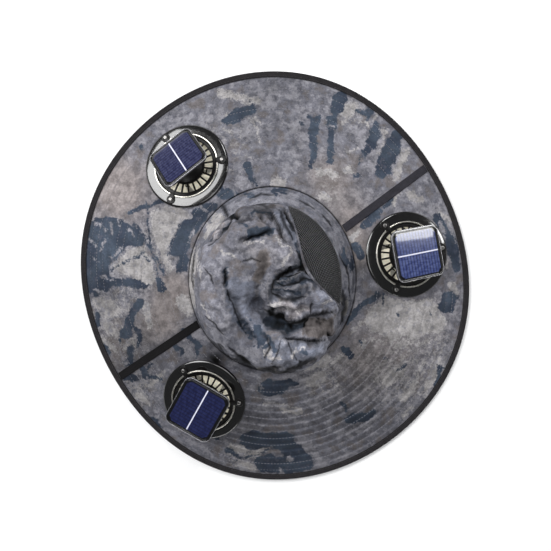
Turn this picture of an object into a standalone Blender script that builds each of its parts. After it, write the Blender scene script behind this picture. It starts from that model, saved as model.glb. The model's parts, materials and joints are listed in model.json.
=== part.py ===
"""Solar fan hat: a stitched brim, a soft crown with a mesh window and three solar fans.

Metres, +Z up. The hat stands on its rim. The origin is on the ground under the middle
of the brim, and +Y runs along the longer axis of the head opening.
"""
from math import atan2, cos, exp, hypot, pi, radians, sin, sqrt

import bmesh
import bpy
from mathutils import Matrix, Vector
from mathutils.geometry import delaunay_2d_cdt

CLEAR = 0.0003

# Brim outline: an oval with four slight corners
OUTLINE_LONG = 0.2350
OUTLINE_SHORT = 0.2207
OUTLINE_TURN = radians(106.5)
CORNER_RISE = 0.0022
CORNER_AT = radians(75)
RIM_SECTIONS = 56

# Brim cloth, rising from the rim to the head opening
BRIM_CLOTH = 0.0024
BRIM_RISE = 0.0300
BRIM_BULGE = 0.0030
BRIM_ROWS = (0.33, 0.67)
BRIM_SECTIONS = 30

# Tape folded over the rim, and the two flat tapes across the brim
BINDING_CLOTH = 0.0010
BINDING_WIDTH = 0.0068
BINDING_MARGIN = 0.0007
TAPE_WIDTH = 0.0090
TAPE_CLOTH = 0.0010
TAPE_STATIONS = 10
TAPE_TURNS = {"right": (radians(35.3), radians(35.9)), "left": (radians(211.2), radians(212.8))}

# Head opening and the band standing on it
HEAD_HALF_X = 0.0930
HEAD_HALF_Y = 0.1025
HEAD_SECTIONS = 48
BAND_CLOTH = 0.0020
BAND_HEIGHT = 0.0270
BAND_INSET = 0.0153
BAND_SHIFT = Vector((-0.0020, -0.0040))

# Crown above the band, whose cloth sags over the band on one side
CROWN_CLOTH = 0.0020
CROWN_HEIGHT = 0.0470
CROWN_SEAM = 0.0005
CROWN_SHIFT = Vector((0.0000, -0.0020))
CROWN_SECTIONS = 38
CROWN_RINGS = 10
CROWN_SAG = 0.150
SAG_AT = radians(-50)
SAG_HALF = radians(62)
SAG_TOP = 0.45

# Crown profile, from the band (share 0) to the middle (share 1): height as a share of
# CROWN_HEIGHT and distance from the middle as a share of the band's upper edge, where
# the cloth stands full and on the side where it slopes with the mesh window
CROWN_PROFILE = (
    # share, full height, full reach, sloping height, sloping reach
    (0.00, 0.00, 1.00, 0.00, 1.00),
    (0.10, 0.25, 1.00, 0.17, 0.94),
    (0.22, 0.56, 0.97, 0.38, 0.84),
    (0.34, 0.79, 0.89, 0.58, 0.72),
    (0.48, 0.93, 0.74, 0.78, 0.57),
    (0.62, 0.99, 0.54, 0.91, 0.42),
    (0.80, 1.00, 0.28, 0.98, 0.22),
    (1.00, 1.00, 0.00, 1.00, 0.00),
)

# Mesh window between the band and the crown cloth
WINDOW_CLOTH = 0.0010
WINDOW_AT = radians(29)
WINDOW_HALF = radians(47)
WINDOW_SHARE = 0.49
WINDOW_END_SHARE = 0.035
WINDOW_COLUMNS = 14
WINDOW_RINGS = 4

# Dents and ridges of the crown cloth. Ends are shares of HEAD_HALF_X and HEAD_HALF_Y,
# widths of HEAD_HALF_X, and depths of CROWN_HEIGHT (a ridge has a negative depth)
CROWN_FOLDS = (
    # name, from x, from y, to x, to y, width, depth
    ("middle valley", -0.10, 0.22, -0.13, -0.30, 0.17, 0.16),
    ("lower valley", -0.13, -0.30, -0.24, -0.66, 0.16, 0.14),
    ("left slope", -0.36, 0.05, -0.28, -0.45, 0.10, 0.07),
    ("cross crease", -0.14, -0.22, 0.30, -0.29, 0.09, 0.22),
    ("cross crease end", 0.30, -0.29, 0.74, -0.22, 0.06, 0.13),
    ("lower crease", -0.08, -0.40, 0.62, -0.47, 0.06, 0.12),
    ("middle dent", 0.04, 0.08, 0.32, 0.10, 0.12, 0.13),
    ("top crease", -0.24, 0.41, 0.06, 0.50, 0.09, 0.11),
    ("pinch", -0.40, 0.64, -0.66, 0.37, 0.06, 0.08),
    ("gather", 0.10, 0.66, 0.27, 0.36, 0.07, 0.09),
    ("upper roll", 0.34, -0.05, 0.70, -0.08, 0.12, -0.07),
    ("middle roll", 0.20, -0.37, 0.70, -0.36, 0.06, -0.05),
    ("lower roll", 0.05, -0.56, 0.52, -0.60, 0.10, -0.08),
    ("left dome", -0.62, 0.10, -0.50, -0.35, 0.16, -0.06),
)
FOLD_FADE = 0.22

# Fans: direction on the brim, place between head opening (0) and rim (1), and how far
# the solar panel's outer end is tipped down
FANS = (
    # name, direction, share of brim, panel tip
    ("fan_1", radians(10.4), 0.456, radians(12)),
    ("fan_2", radians(127.3), 0.446, radians(25)),
    ("fan_3", radians(240.5), 0.448, radians(-4)),
)
RING_SEGMENTS = 20
SEAT_MARGIN = 0.0020
SEAT_BLEND = 0.0070

# Fan housing, in the fan's own frame: +X outwards, +Z out of the brim's upper face
FLANGE_RADIUS = 0.0480
FLANGE_TOP = 0.0030
FLANGE_EDGE = 0.0014
LIP_TOP = 0.0050
LIP_WIDTH = 0.0014
COLLAR_RADIUS = 0.0386
COLLAR_WALL = 0.0034
COLLAR_DEPTH = 0.0074
LEDGE_WIDTH = 0.0018
LEDGE_TOP = 0.0009
LOCK_RADIUS = 0.0450
LOCK_DEPTH = 0.0090
GUARD_BARS = 3
GUARD_BAR = 0.0013
GUARD_HUB_RADIUS = 0.0110

# Lugs with screws that hold the fan on the flange
LUG_TURNS = (radians(120), radians(240), radians(0))
LUG_RADIUS = 0.0050
LUG_REACH = 0.0415
LUG_TOP = 0.0042
SCREW_RADIUS = 0.0024
SCREW_HEIGHT = 0.0013

# Grille, motor housing and neck
GRILLE_CLOTH = 0.0016
GRILLE_SLOTS = 24
GRILLE_RIM = 0.0024
SLOT_INNER = 0.0210
RIB_WIDTH = 0.0021
MOTOR_FOOT = 0.0195
MOTOR_TOP_RADIUS = 0.0140
MOTOR_HEIGHT = 0.0070
NECK_RADIUS = 0.0030
HINGE_HEIGHT = 0.0212
EYE_RADIUS = 0.0034
EYE_WIDTH = 0.0060
AXLE_RADIUS = 0.0015

# Rotor
ROTOR_BLADES = 5
ROTOR_HUB = 0.0120
ROTOR_THICK = 0.0046
BLADE_CLEAR = 0.0008
BLADE_CHORD = 0.0150
BLADE_THICK = 0.0010
BLADE_PITCH = radians(14)

# Solar panel: tray, cell plate and hinge ears
TRAY_LENGTH = 0.0590
TRAY_WIDTH = 0.0500
TRAY_CORNER = 0.0085
TRAY_THICK = 0.0036
TRAY_RIM = 0.0020
TRAY_FLOOR = 0.0016
TRAY_STAND = 0.0042
CELL_THICK = 0.0014
EAR_THICK = 0.0018
EAR_RADIUS = 0.0030
PIN_RADIUS = 0.0013

MATERIALS = {
    # name: (colour, roughness, metallic)
    "camouflage_cloth": ((0.20, 0.20, 0.23), 0.90, 0.0),
    "black_tape": ((0.025, 0.025, 0.030), 0.80, 0.0),
    "black_mesh": ((0.045, 0.047, 0.050), 0.75, 0.0),
    "black_gloss": ((0.008, 0.008, 0.009), 0.12, 0.0),
    "cream_plastic": ((0.70, 0.66, 0.60), 0.40, 0.0),
    "solar_cells": ((0.035, 0.040, 0.130), 0.15, 0.0),
    "screw_steel": ((0.60, 0.60, 0.60), 0.30, 1.0),
}


def clear_scene():
    for item in list(bpy.data.objects):
        bpy.data.objects.remove(item, do_unlink=True)


def new_collection(name):
    group = bpy.data.collections.new(name)
    bpy.context.scene.collection.children.link(group)
    return group


def make_material(name):
    colour, roughness, metallic = MATERIALS[name]
    result = bpy.data.materials.new(name)
    result.use_nodes = True
    shader = result.node_tree.nodes["Principled BSDF"]
    shader.inputs["Base Color"].default_value = (*colour, 1.0)
    shader.inputs["Roughness"].default_value = roughness
    shader.inputs["Metallic"].default_value = metallic
    result.diffuse_color = (*colour, 1.0)
    return result


def add_node(name, mesh, material, parent=None, matrix=None):
    """Put one sub-part in the hat's collection, with a material of its own."""
    node = bpy.data.objects.new(name, mesh)
    HAT.objects.link(node)
    node.parent = parent
    node.matrix_local = matrix or Matrix.Identity(4)
    own = make_material(material)
    own.name = f"{name}_{material}"
    if not mesh.materials:
        mesh.materials.append(None)
    node.material_slots[0].link = "OBJECT"
    node.material_slots[0].material = own
    return node


def mesh_from_bmesh(name, shape):
    mesh = bpy.data.meshes.new(name)
    shape.to_mesh(mesh)
    shape.free()
    return mesh


def temporary(name, mesh):
    """An object that shapes another one and isn't part of the hat."""
    tool = bpy.data.objects.new(name, mesh)
    CUTTERS.objects.link(tool)
    tool.hide_render = True
    tool.display_type = "WIRE"
    return tool


def combine(base, tools, operation):
    """Join tools to the base object, or cut them out of it, one after another."""
    for tool in tools:
        change = base.modifiers.new(operation.lower(), "BOOLEAN")
        change.operation = operation
        change.solver = "EXACT"
        change.object = tool


def settled_mesh(base, tools=()):
    """The evaluated mesh of a shaped object, whose tools are then removed."""
    bpy.context.view_layer.update()
    graph = bpy.context.evaluated_depsgraph_get()
    mesh = bpy.data.meshes.new_from_object(base.evaluated_get(graph))
    mesh.name = base.name
    for item in (base, *tools):
        bpy.data.objects.remove(item, do_unlink=True)
    return mesh


def smooth_round(mesh, angle=radians(35)):
    mesh.shade_smooth()
    mesh.set_sharp_from_angle(angle=angle)


def cylinder_mesh(name, radius, bottom, top, segments, matrix=None, upper_radius=None):
    shape = bmesh.new()
    bmesh.ops.create_cone(
        shape, cap_ends=True, segments=segments, radius1=radius,
        radius2=radius if upper_radius is None else upper_radius, depth=top - bottom)
    bmesh.ops.translate(shape, vec=(0, 0, (top + bottom) / 2), verts=shape.verts)
    if matrix:
        bmesh.ops.transform(shape, matrix=matrix, verts=shape.verts)
    return mesh_from_bmesh(name, shape)


def box_mesh(name, lows, highs, matrix=None):
    shape = bmesh.new()
    bmesh.ops.create_cube(shape, size=1.0)
    for vert in shape.verts:
        for axis in range(3):
            middle = (lows[axis] + highs[axis]) / 2
            vert.co[axis] = middle + vert.co[axis] * (highs[axis] - lows[axis])
    if matrix:
        bmesh.ops.transform(shape, matrix=matrix, verts=shape.verts)
    return mesh_from_bmesh(name, shape)


def turned_object(name, profile, segments, closed):
    """A Screw modifier on a profile of (radius, height) points, outer side downwards."""
    points = [(radius, 0, height) for radius, height in profile]
    edges = [(i, i + 1) for i in range(len(points) - 1)]
    if closed:
        edges.append((len(points) - 1, 0))
    mesh = bpy.data.meshes.new(name)
    mesh.from_pydata(points, edges, [])
    turned = temporary(name, mesh)
    screw = turned.modifiers.new("turn", "SCREW")
    screw.axis = "Z"
    screw.angle = 2 * pi
    screw.steps = segments
    screw.render_steps = segments
    screw.use_merge_vertices = True
    screw.merge_threshold = 0.00001
    screw.use_smooth_shade = False
    return turned


def smooth_step(share):
    share = min(max(share, 0.0), 1.0)
    return share * share * (3 - 2 * share)


def polar(radius, turn):
    return Vector((radius * cos(turn), radius * sin(turn)))


def outline_radius(turn):
    """The hat's outer edge, seen from above."""
    along = cos(turn - OUTLINE_TURN) / OUTLINE_LONG
    across = sin(turn - OUTLINE_TURN) / OUTLINE_SHORT
    return 1 / sqrt(along ** 2 + across ** 2) + CORNER_RISE * cos(4 * (turn - CORNER_AT))


def brim_edge_radius(turn):
    return outline_radius(turn) - BINDING_CLOTH - CLEAR


def flat_radius(turn):
    """Where the brim's flat border for the binding starts."""
    return outline_radius(turn) - BINDING_WIDTH - BINDING_MARGIN


def tape_end_radius(turn):
    """Just inside the binding, whose inner edge is straight between its sections."""
    return (outline_radius(turn) - BINDING_WIDTH) * cos(pi / RIM_SECTIONS) - CLEAR


def head_radius(turn):
    return 1 / sqrt((cos(turn) / HEAD_HALF_X) ** 2 + (sin(turn) / HEAD_HALF_Y) ** 2)


def row_radius(share, turn):
    """A place between the head opening (0) and the flat border (1)."""
    inner = head_radius(turn)
    return inner + share * (flat_radius(turn) - inner)


def open_brim_height(x, y):
    """Underside of the brim, before it is pressed flat under the fans."""
    turn = atan2(y, x)
    inner = head_radius(turn)
    share = (hypot(x, y) - inner) / (flat_radius(turn) - inner)
    share = min(max(share, 0.0), 1.0)
    lift = BINDING_CLOTH + CLEAR
    return lift + BRIM_RISE * (1 - share) + 4 * BRIM_BULGE * share * (1 - share)


class Seat:
    """The flat place under one fan, and the fan's frame on the brim's upper face."""

    def __init__(self, turn, share):
        inner = head_radius(turn)
        place = polar(inner + share * (outline_radius(turn) - inner), turn)
        reach = COLLAR_RADIUS
        self.x, self.y = place
        self.height = open_brim_height(self.x, self.y)
        self.slope_x = (open_brim_height(self.x + reach, self.y)
                        - open_brim_height(self.x - reach, self.y)) / (2 * reach)
        self.slope_y = (open_brim_height(self.x, self.y + reach)
                        - open_brim_height(self.x, self.y - reach)) / (2 * reach)
        normal = Vector((-self.slope_x, -self.slope_y, 1)).normalized()
        outward = Vector((cos(turn), sin(turn), 0))
        outward = (outward - normal * outward.dot(normal)).normalized()
        side = normal.cross(outward)
        centre = Vector((self.x, self.y, self.height)) + normal * BRIM_CLOTH
        self.frame = Matrix((outward, side, normal)).transposed().to_4x4()
        self.frame.translation = centre

    def plane(self, x, y):
        return self.height + self.slope_x * (x - self.x) + self.slope_y * (y - self.y)

    def distance(self, x, y):
        return hypot(x - self.x, y - self.y)

    def circle(self, radius, count):
        """Plan points of a circle that lies in the seat's plane."""
        turns = [2 * pi * i / count for i in range(count)]
        points = [self.frame @ Vector((*polar(radius, turn), 0)) for turn in turns]
        return [(point.x, point.y) for point in points]


SEATS = [Seat(turn, share) for _, turn, share, _ in FANS]
SEAT_RADIUS = FLANGE_RADIUS + SEAT_MARGIN
BLEND_RADIUS = SEAT_RADIUS + SEAT_BLEND
HOLE_RADIUS = (COLLAR_RADIUS + CLEAR) / cos(pi / RING_SEGMENTS)


def brim_height(x, y):
    height = open_brim_height(x, y)
    for seat in SEATS:
        share = (BLEND_RADIUS - seat.distance(x, y)) / SEAT_BLEND
        height += (seat.plane(x, y) - height) * smooth_step(share)
    return height


def ring_points(radius_at, sections):
    turns = [2 * pi * i / sections for i in range(sections)]
    return [tuple(polar(radius_at(turn), turn)) for turn in turns]


def brim_mesh():
    """The brim's underside as a plan triangulation, lifted to its height."""
    rings = [ring_points(brim_edge_radius, RIM_SECTIONS),
             ring_points(flat_radius, RIM_SECTIONS),
             ring_points(head_radius, HEAD_SECTIONS)]
    for seat in SEATS:
        rings.append(seat.circle(HOLE_RADIUS, RING_SEGMENTS))
        rings.append(seat.circle(SEAT_RADIUS, RING_SEGMENTS))
        rings.append(seat.circle(BLEND_RADIUS, RING_SEGMENTS))
    points, edges = [], []
    for ring in rings:
        start, count = len(points), len(ring)
        points += ring
        edges += [(start + i, start + (i + 1) % count) for i in range(count)]
    for share in BRIM_ROWS:
        for x, y in ring_points(lambda turn: row_radius(share, turn), BRIM_SECTIONS):
            if all(seat.distance(x, y) > BLEND_RADIUS + SEAT_MARGIN for seat in SEATS):
                points.append((x, y))
    plan = delaunay_2d_cdt([Vector(point) for point in points], edges, [], 0, 1e-7)
    shape = bmesh.new()
    verts = [shape.verts.new((x, y, brim_height(x, y))) for x, y in plan[0]]
    for corners in plan[2]:
        middle = sum((plan[0][i] for i in corners), Vector((0, 0))) / len(corners)
        in_head = middle.length < head_radius(atan2(middle.y, middle.x))
        past_rim = middle.length > brim_edge_radius(atan2(middle.y, middle.x))
        in_fan = any(seat.distance(*middle) < HOLE_RADIUS for seat in SEATS)
        if not (in_head or past_rim or in_fan):
            face = shape.faces.new([verts[i] for i in corners])
            face.normal_update()
            if face.normal.z < 0:
                face.normal_flip()
    bmesh.ops.delete(shape, geom=[v for v in verts if not v.link_faces], context="VERTS")
    return mesh_from_bmesh("brim", shape)


def add_cloth(node, thickness, offset):
    cloth = node.modifiers.new("cloth", "SOLIDIFY")
    cloth.thickness = thickness
    cloth.offset = offset
    return node


def grid_mesh(name, rows, wrapped, pole=None):
    """A sheet from rows of points, columns anticlockwise and rows upwards."""
    shape = bmesh.new()
    lines = [[shape.verts.new(point) for point in row] for row in rows]
    width = len(lines[0])
    for lower, upper in zip(lines, lines[1:]):
        for i in range(width if wrapped else width - 1):
            j = (i + 1) % width
            shape.faces.new((lower[i], lower[j], upper[j], upper[i]))
    if pole is not None:
        tip = shape.verts.new(pole)
        top = lines[-1]
        for i in range(width):
            shape.faces.new((top[i], top[(i + 1) % width], tip))
    return mesh_from_bmesh(name, shape)


def build_brim():
    add_cloth(add_node("brim", brim_mesh(), "camouflage_cloth"), BRIM_CLOTH, 1.0)


def build_binding():
    """A tape folded over the rim: a U section, open towards the brim."""
    height = 2 * (BINDING_CLOTH + CLEAR) + BRIM_CLOTH
    back = -BINDING_CLOTH
    section = (
        (0, 0), (0, height), (-BINDING_WIDTH, height),
        (-BINDING_WIDTH, height - BINDING_CLOTH), (back, height - BINDING_CLOTH),
        (back, BINDING_CLOTH), (-BINDING_WIDTH, BINDING_CLOTH), (-BINDING_WIDTH, 0))
    rows = []
    for step, level in section:
        ring = ring_points(lambda turn: outline_radius(turn) + step, RIM_SECTIONS)
        rows.append([(x, y, level) for x, y in ring])
    rows.append(rows[0])
    mesh = grid_mesh("brim_binding", rows, wrapped=True)
    shape = bmesh.new()
    shape.from_mesh(mesh)
    bmesh.ops.remove_doubles(shape, verts=shape.verts, dist=0.00001)
    shape.to_mesh(mesh)
    shape.free()
    add_node("brim_binding", mesh, "black_tape")


def build_tapes():
    """Two flat tapes sewn across the brim, from the band to the binding."""
    for side, (inner_turn, outer_turn) in TAPE_TURNS.items():
        start = polar(head_radius(inner_turn) + TAPE_CLOTH, inner_turn)
        end = polar(tape_end_radius(outer_turn), outer_turn)
        across = Vector((-(end - start).y, (end - start).x)).normalized() * TAPE_WIDTH / 2
        rows = []
        for sign in (-1, 1):
            row = []
            for i in range(TAPE_STATIONS + 1):
                point = start.lerp(end, i / TAPE_STATIONS) + across * sign
                if i == TAPE_STATIONS:
                    turn = atan2(point.y, point.x)
                    point *= tape_end_radius(turn) / point.length
                if i == 0:
                    turn = atan2(point.y, point.x)
                    point *= (head_radius(turn) + TAPE_CLOTH) / point.length
                level = brim_height(*point) + BRIM_CLOTH * 1.04 + CLEAR
                row.append((*point, level))
            rows.append(row)
        mesh = grid_mesh(f"brim_tape_{side}", rows, wrapped=False)
        add_cloth(add_node(f"brim_tape_{side}", mesh, "black_tape"), TAPE_CLOTH, 1.0)


def band_base_height():
    return BINDING_CLOTH + CLEAR + BRIM_RISE


def band_point(share, turn):
    """The band's outer face, from the brim (0) to the crown (1)."""
    radius = head_radius(turn) - CLEAR - BAND_INSET * share
    place = polar(radius, turn) + BAND_SHIFT * share
    return Vector((*place, band_base_height() + BAND_HEIGHT * share))


def build_band():
    turns = [2 * pi * i / HEAD_SECTIONS for i in range(HEAD_SECTIONS)]
    rows = [[band_point(share, turn) for turn in turns] for share in (0, 1)]
    mesh = grid_mesh("crown_band", rows, wrapped=True)
    add_cloth(add_node("crown_band", mesh, "camouflage_cloth"), BAND_CLOTH, -1.0)


def profile_at(share, slope):
    """Height and reach of the crown, for a slope of 0 (full) to 1 (sloping)."""
    rows = zip(CROWN_PROFILE, CROWN_PROFILE[1:])
    lower, upper = next(pair for pair in rows if share <= pair[1][0] + 1e-9)
    mix = (share - lower[0]) / (upper[0] - lower[0])
    values = [low + (high - low) * mix for low, high in zip(lower, upper)]
    height = values[1] + (values[3] - values[1]) * slope
    reach = values[2] + (values[4] - values[2]) * slope
    return height, reach


def turn_between(turn, other):
    return abs((turn - other + pi) % (2 * pi) - pi)


def fold_depth(x, y):
    """How far the folds lower the crown at a plan point."""
    depth = 0.0
    for _, x0, y0, x1, y1, width, share in CROWN_FOLDS:
        start = Vector((x0 * HEAD_HALF_X, y0 * HEAD_HALF_Y))
        along = Vector((x1 * HEAD_HALF_X, y1 * HEAD_HALF_Y)) - start
        offset = Vector((x, y)) - start
        place = min(max(offset.dot(along) / along.length_squared, 0.0), 1.0)
        away = (offset - along * place).length / (width * HEAD_HALF_X)
        depth += share * CROWN_HEIGHT * exp(-away * away)
    return depth


def crown_point(share, turn):
    """The crown's outer face, from the band (0) to the middle (1)."""
    edge = band_point(1, turn)
    centre = Vector((*BAND_SHIFT, edge.z + CROWN_SEAM))
    slope = max(cos(turn_between(turn, WINDOW_AT)), 0.0) ** 0.8
    height, reach = profile_at(share, slope)
    sag = CROWN_SAG * smooth_step(1 - turn_between(turn, SAG_AT) / SAG_HALF)
    reach += sag * sin(pi * min(share / SAG_TOP, 1.0))
    plan = (edge.xy - centre.xy) * reach + centre.xy + CROWN_SHIFT * height
    lift = CROWN_HEIGHT * height - fold_depth(*plan) * smooth_step(share / FOLD_FADE)
    return Vector((*plan, centre.z + lift))


def window_share(turn):
    """Where the crown cloth starts above the mesh window, and 0 beside it."""
    place = turn_between(turn, WINDOW_AT) / WINDOW_HALF
    if place > 1 + 1e-6:
        return 0.0
    rise = max(1 - place ** 2, 0.0) ** 0.6
    return WINDOW_END_SHARE + (WINDOW_SHARE - WINDOW_END_SHARE) * rise


def window_turns():
    return [WINDOW_AT + WINDOW_HALF * (2 * i / WINDOW_COLUMNS - 1)
            for i in range(WINDOW_COLUMNS + 1)]


def build_crown():
    start = WINDOW_AT + WINDOW_HALF
    rest = 2 * (pi - WINDOW_HALF)
    turns = window_turns() + [start + rest * i / CROWN_SECTIONS
                              for i in range(1, CROWN_SECTIONS)]
    rows = []
    for ring in range(CROWN_RINGS):
        row = []
        for turn in turns:
            lowest = window_share(turn)
            row.append(crown_point(lowest + (1 - lowest) * ring / CROWN_RINGS, turn))
        rows.append(row)
    mesh = grid_mesh("crown", rows, wrapped=True, pole=crown_point(1, 0))
    add_cloth(add_node("crown", mesh, "camouflage_cloth"), CROWN_CLOTH, -1.0)


def build_window():
    """The mesh panel, between the band and the edge of the crown cloth."""
    turns = window_turns()
    gap = CROWN_SEAM / CROWN_HEIGHT
    rows = []
    for ring in range(WINDOW_RINGS + 1):
        share = ring / WINDOW_RINGS
        rows.append([crown_point((window_share(turn) - gap) * share, turn) for turn in turns])
    mesh = grid_mesh("mesh_window", rows, wrapped=False)
    add_cloth(add_node("mesh_window", mesh, "black_mesh"), WINDOW_CLOTH, -1.0)


def flange_mesh():
    """Flange, lip, collar and inner ledge in one turned shape, with three lugs."""
    inner = COLLAR_RADIUS - COLLAR_WALL
    ledge = inner - LEDGE_WIDTH
    lip = inner + LIP_WIDTH
    profile = (
        (lip, LIP_TOP), (lip + LIP_WIDTH, FLANGE_TOP + FLANGE_EDGE / 3),
        (FLANGE_RADIUS - FLANGE_EDGE, FLANGE_TOP),
        (FLANGE_RADIUS, FLANGE_TOP - FLANGE_EDGE), (FLANGE_RADIUS, CLEAR),
        (COLLAR_RADIUS, CLEAR), (COLLAR_RADIUS, -COLLAR_DEPTH), (ledge, -COLLAR_DEPTH),
        (ledge, LEDGE_TOP), (inner, LEDGE_TOP), (inner, LIP_TOP))
    flange = turned_object("fan_flange", profile, RING_SEGMENTS, closed=True)
    lugs = []
    for number, turn in enumerate(LUG_TURNS):
        place = Matrix.Translation((*polar(LUG_REACH, turn), 0))
        middle = (FLANGE_TOP + CLEAR) / 2
        mesh = cylinder_mesh("lug", LUG_RADIUS, middle, LUG_TOP, 8, place)
        lugs.append(temporary(f"lug_{number}", mesh))
    combine(flange, lugs, "UNION")
    return settled_mesh(flange, lugs)


def lock_ring_mesh():
    """The ring under the brim that grips the collar, with guard bars across it."""
    top = -BRIM_CLOTH - CLEAR
    profile = ((LOCK_RADIUS, top), (LOCK_RADIUS, -LOCK_DEPTH),
               (HOLE_RADIUS, -LOCK_DEPTH), (HOLE_RADIUS, top))
    ring = turned_object("fan_lock_ring", profile, RING_SEGMENTS, closed=True)
    reach = (HOLE_RADIUS + LOCK_RADIUS) / 2
    bars = []
    for number in range(GUARD_BARS):
        spin = Matrix.Rotation(pi * number / GUARD_BARS, 4, "Z")
        mesh = box_mesh("guard", (-reach, -GUARD_BAR / 2, -LOCK_DEPTH + GUARD_BAR / 8),
                        (reach, GUARD_BAR / 2, -LOCK_DEPTH + GUARD_BAR), spin)
        bars.append(temporary(f"guard_{number}", mesh))
    hub = cylinder_mesh("guard_hub", GUARD_HUB_RADIUS, -LOCK_DEPTH,
                        -LOCK_DEPTH + GUARD_BAR * 9 / 8, 8)
    bars.append(temporary("guard_hub", hub))
    combine(ring, bars, "UNION")
    return settled_mesh(ring, bars)


def grille_bottom():
    return LEDGE_TOP + CLEAR


def grille_mesh():
    """Slotted disc with the motor housing, the panel's neck and the rotor's axle."""
    outer = (COLLAR_RADIUS - COLLAR_WALL) * cos(pi / RING_SEGMENTS) - CLEAR
    low, high = grille_bottom(), grille_bottom() + GRILLE_CLOTH
    slot_outer = outer - GRILLE_RIM
    disc = temporary("fan_grille", cylinder_mesh("disc", outer, low, high, RING_SEGMENTS))
    slots = bmesh.new()
    for number in range(GRILLE_SLOTS):
        turn = 2 * pi * (number + 0.5) / GRILLE_SLOTS
        slot = bmesh.new()
        bmesh.ops.create_cube(slot, size=1.0)
        for vert in slot.verts:
            reach = slot_outer if vert.co.x > 0 else SLOT_INNER
            half = reach * pi / GRILLE_SLOTS - RIB_WIDTH / 2
            vert.co = Vector((reach, half if vert.co.y > 0 else -half,
                              high + CLEAR if vert.co.z > 0 else low - CLEAR))
        bmesh.ops.rotate(slot, cent=(0, 0, 0), matrix=Matrix.Rotation(turn, 3, "Z"),
                         verts=slot.verts)
        part = mesh_from_bmesh("slot", slot)
        slots.from_mesh(part)
        bpy.data.meshes.remove(part)
    cutter = temporary("slots", mesh_from_bmesh("slots", slots))
    combine(disc, [cutter], "DIFFERENCE")
    embed = high - GRILLE_CLOTH / 2
    across = Matrix.Rotation(pi / 2, 4, "X")
    at_hinge = Matrix.Translation((0, 0, HINGE_HEIGHT)) @ across
    motor = cylinder_mesh("motor", MOTOR_FOOT, embed, high + MOTOR_HEIGHT, 12,
                          upper_radius=MOTOR_TOP_RADIUS)
    neck = cylinder_mesh("neck", NECK_RADIUS, high + MOTOR_HEIGHT / 2, HINGE_HEIGHT, 8)
    eye = cylinder_mesh("eye", EYE_RADIUS, -EYE_WIDTH / 2, EYE_WIDTH / 2, 10, at_hinge)
    axle = cylinder_mesh("axle", AXLE_RADIUS, rotor_bottom() - CLEAR, embed, 6)
    added = [temporary(mesh.name, mesh) for mesh in (motor, neck, eye, axle)]
    combine(disc, added, "UNION")
    bore = cylinder_mesh("bore", PIN_RADIUS + CLEAR, -EYE_WIDTH, EYE_WIDTH, 8, at_hinge)
    drill = temporary("bore", bore)
    combine(disc, [drill], "DIFFERENCE")
    return settled_mesh(disc, [cutter, drill, *added])


def rotor_bottom():
    return grille_bottom() - 4 * CLEAR - ROTOR_THICK


def rotor_mesh():
    """Hub and pitched blades, turning on the grille's axle."""
    low = rotor_bottom()
    high = low + ROTOR_THICK
    hub = temporary("fan_rotor", cylinder_mesh("hub", ROTOR_HUB, low, high, 10))
    reach = COLLAR_RADIUS - COLLAR_WALL - LEDGE_WIDTH - BLADE_CLEAR
    tip = sqrt(reach ** 2 - (BLADE_CHORD / 2) ** 2)
    blades = []
    for number in range(ROTOR_BLADES):
        matrix = (Matrix.Rotation(2 * pi * number / ROTOR_BLADES, 4, "Z")
                  @ Matrix.Translation((0, 0, (low + high) / 2))
                  @ Matrix.Rotation(BLADE_PITCH, 4, "X"))
        mesh = box_mesh("blade", (ROTOR_HUB * 0.8, -BLADE_CHORD / 2, -BLADE_THICK / 2),
                        (tip, BLADE_CHORD / 2, BLADE_THICK / 2), matrix)
        blades.append(temporary(f"blade_{number}", mesh))
    combine(hub, blades, "UNION")
    bore = cylinder_mesh("bore", AXLE_RADIUS + CLEAR, low - CLEAR, high + CLEAR, 8)
    drill = temporary("bore", bore)
    combine(hub, [drill], "DIFFERENCE")
    return settled_mesh(hub, [drill, *blades])


def rounded_plate(name, length, width, corner, low, high):
    """A box with its upright edges rounded."""
    shape = bmesh.new()
    bmesh.ops.create_cube(shape, size=1.0)
    for vert in shape.verts:
        vert.co = Vector((vert.co.x * length, vert.co.y * width,
                          high if vert.co.z > 0 else low))
    upright = [edge for edge in shape.edges
               if abs(edge.verts[0].co.z - edge.verts[1].co.z) > (high - low) / 2]
    bmesh.ops.bevel(shape, geom=upright, offset=corner, segments=4, profile=0.5,
                    affect="EDGES")
    return mesh_from_bmesh(name, shape)


def tray_mesh():
    """Tray with a recess for the cells, and two ears with the hinge pin below it."""
    low, high = TRAY_STAND, TRAY_STAND + TRAY_THICK
    tray = temporary("fan_panel", rounded_plate(
        "tray", TRAY_LENGTH, TRAY_WIDTH, TRAY_CORNER, low, high))
    recess = temporary("recess", rounded_plate(
        "recess", TRAY_LENGTH - 2 * TRAY_RIM, TRAY_WIDTH - 2 * TRAY_RIM,
        TRAY_CORNER - TRAY_RIM, low + TRAY_FLOOR, high + TRAY_RIM))
    combine(tray, [recess], "DIFFERENCE")
    near = EYE_WIDTH / 2 + CLEAR
    far = near + EAR_THICK
    across = Matrix.Rotation(pi / 2, 4, "X")
    ears = [cylinder_mesh("pin", PIN_RADIUS, -far + EAR_THICK / 2, far - EAR_THICK / 2, 8,
                          across)]
    for lower, upper in ((-far, -near), (near, far)):
        ears.append(cylinder_mesh("ear", EAR_RADIUS, lower, upper, 8, across))
        ears.append(box_mesh("stem", (-EAR_RADIUS, lower, 0),
                             (EAR_RADIUS, upper, low + TRAY_FLOOR / 2)))
    added = [temporary(mesh.name, mesh) for mesh in ears]
    combine(tray, added, "UNION")
    return settled_mesh(tray, [recess, *added])


def cells_mesh():
    low = TRAY_STAND + TRAY_FLOOR + CLEAR
    inset = 2 * (TRAY_RIM + CLEAR)
    return rounded_plate("fan_cells", TRAY_LENGTH - inset, TRAY_WIDTH - inset,
                         TRAY_CORNER - TRAY_RIM - CLEAR, low, low + CELL_THICK)


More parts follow.
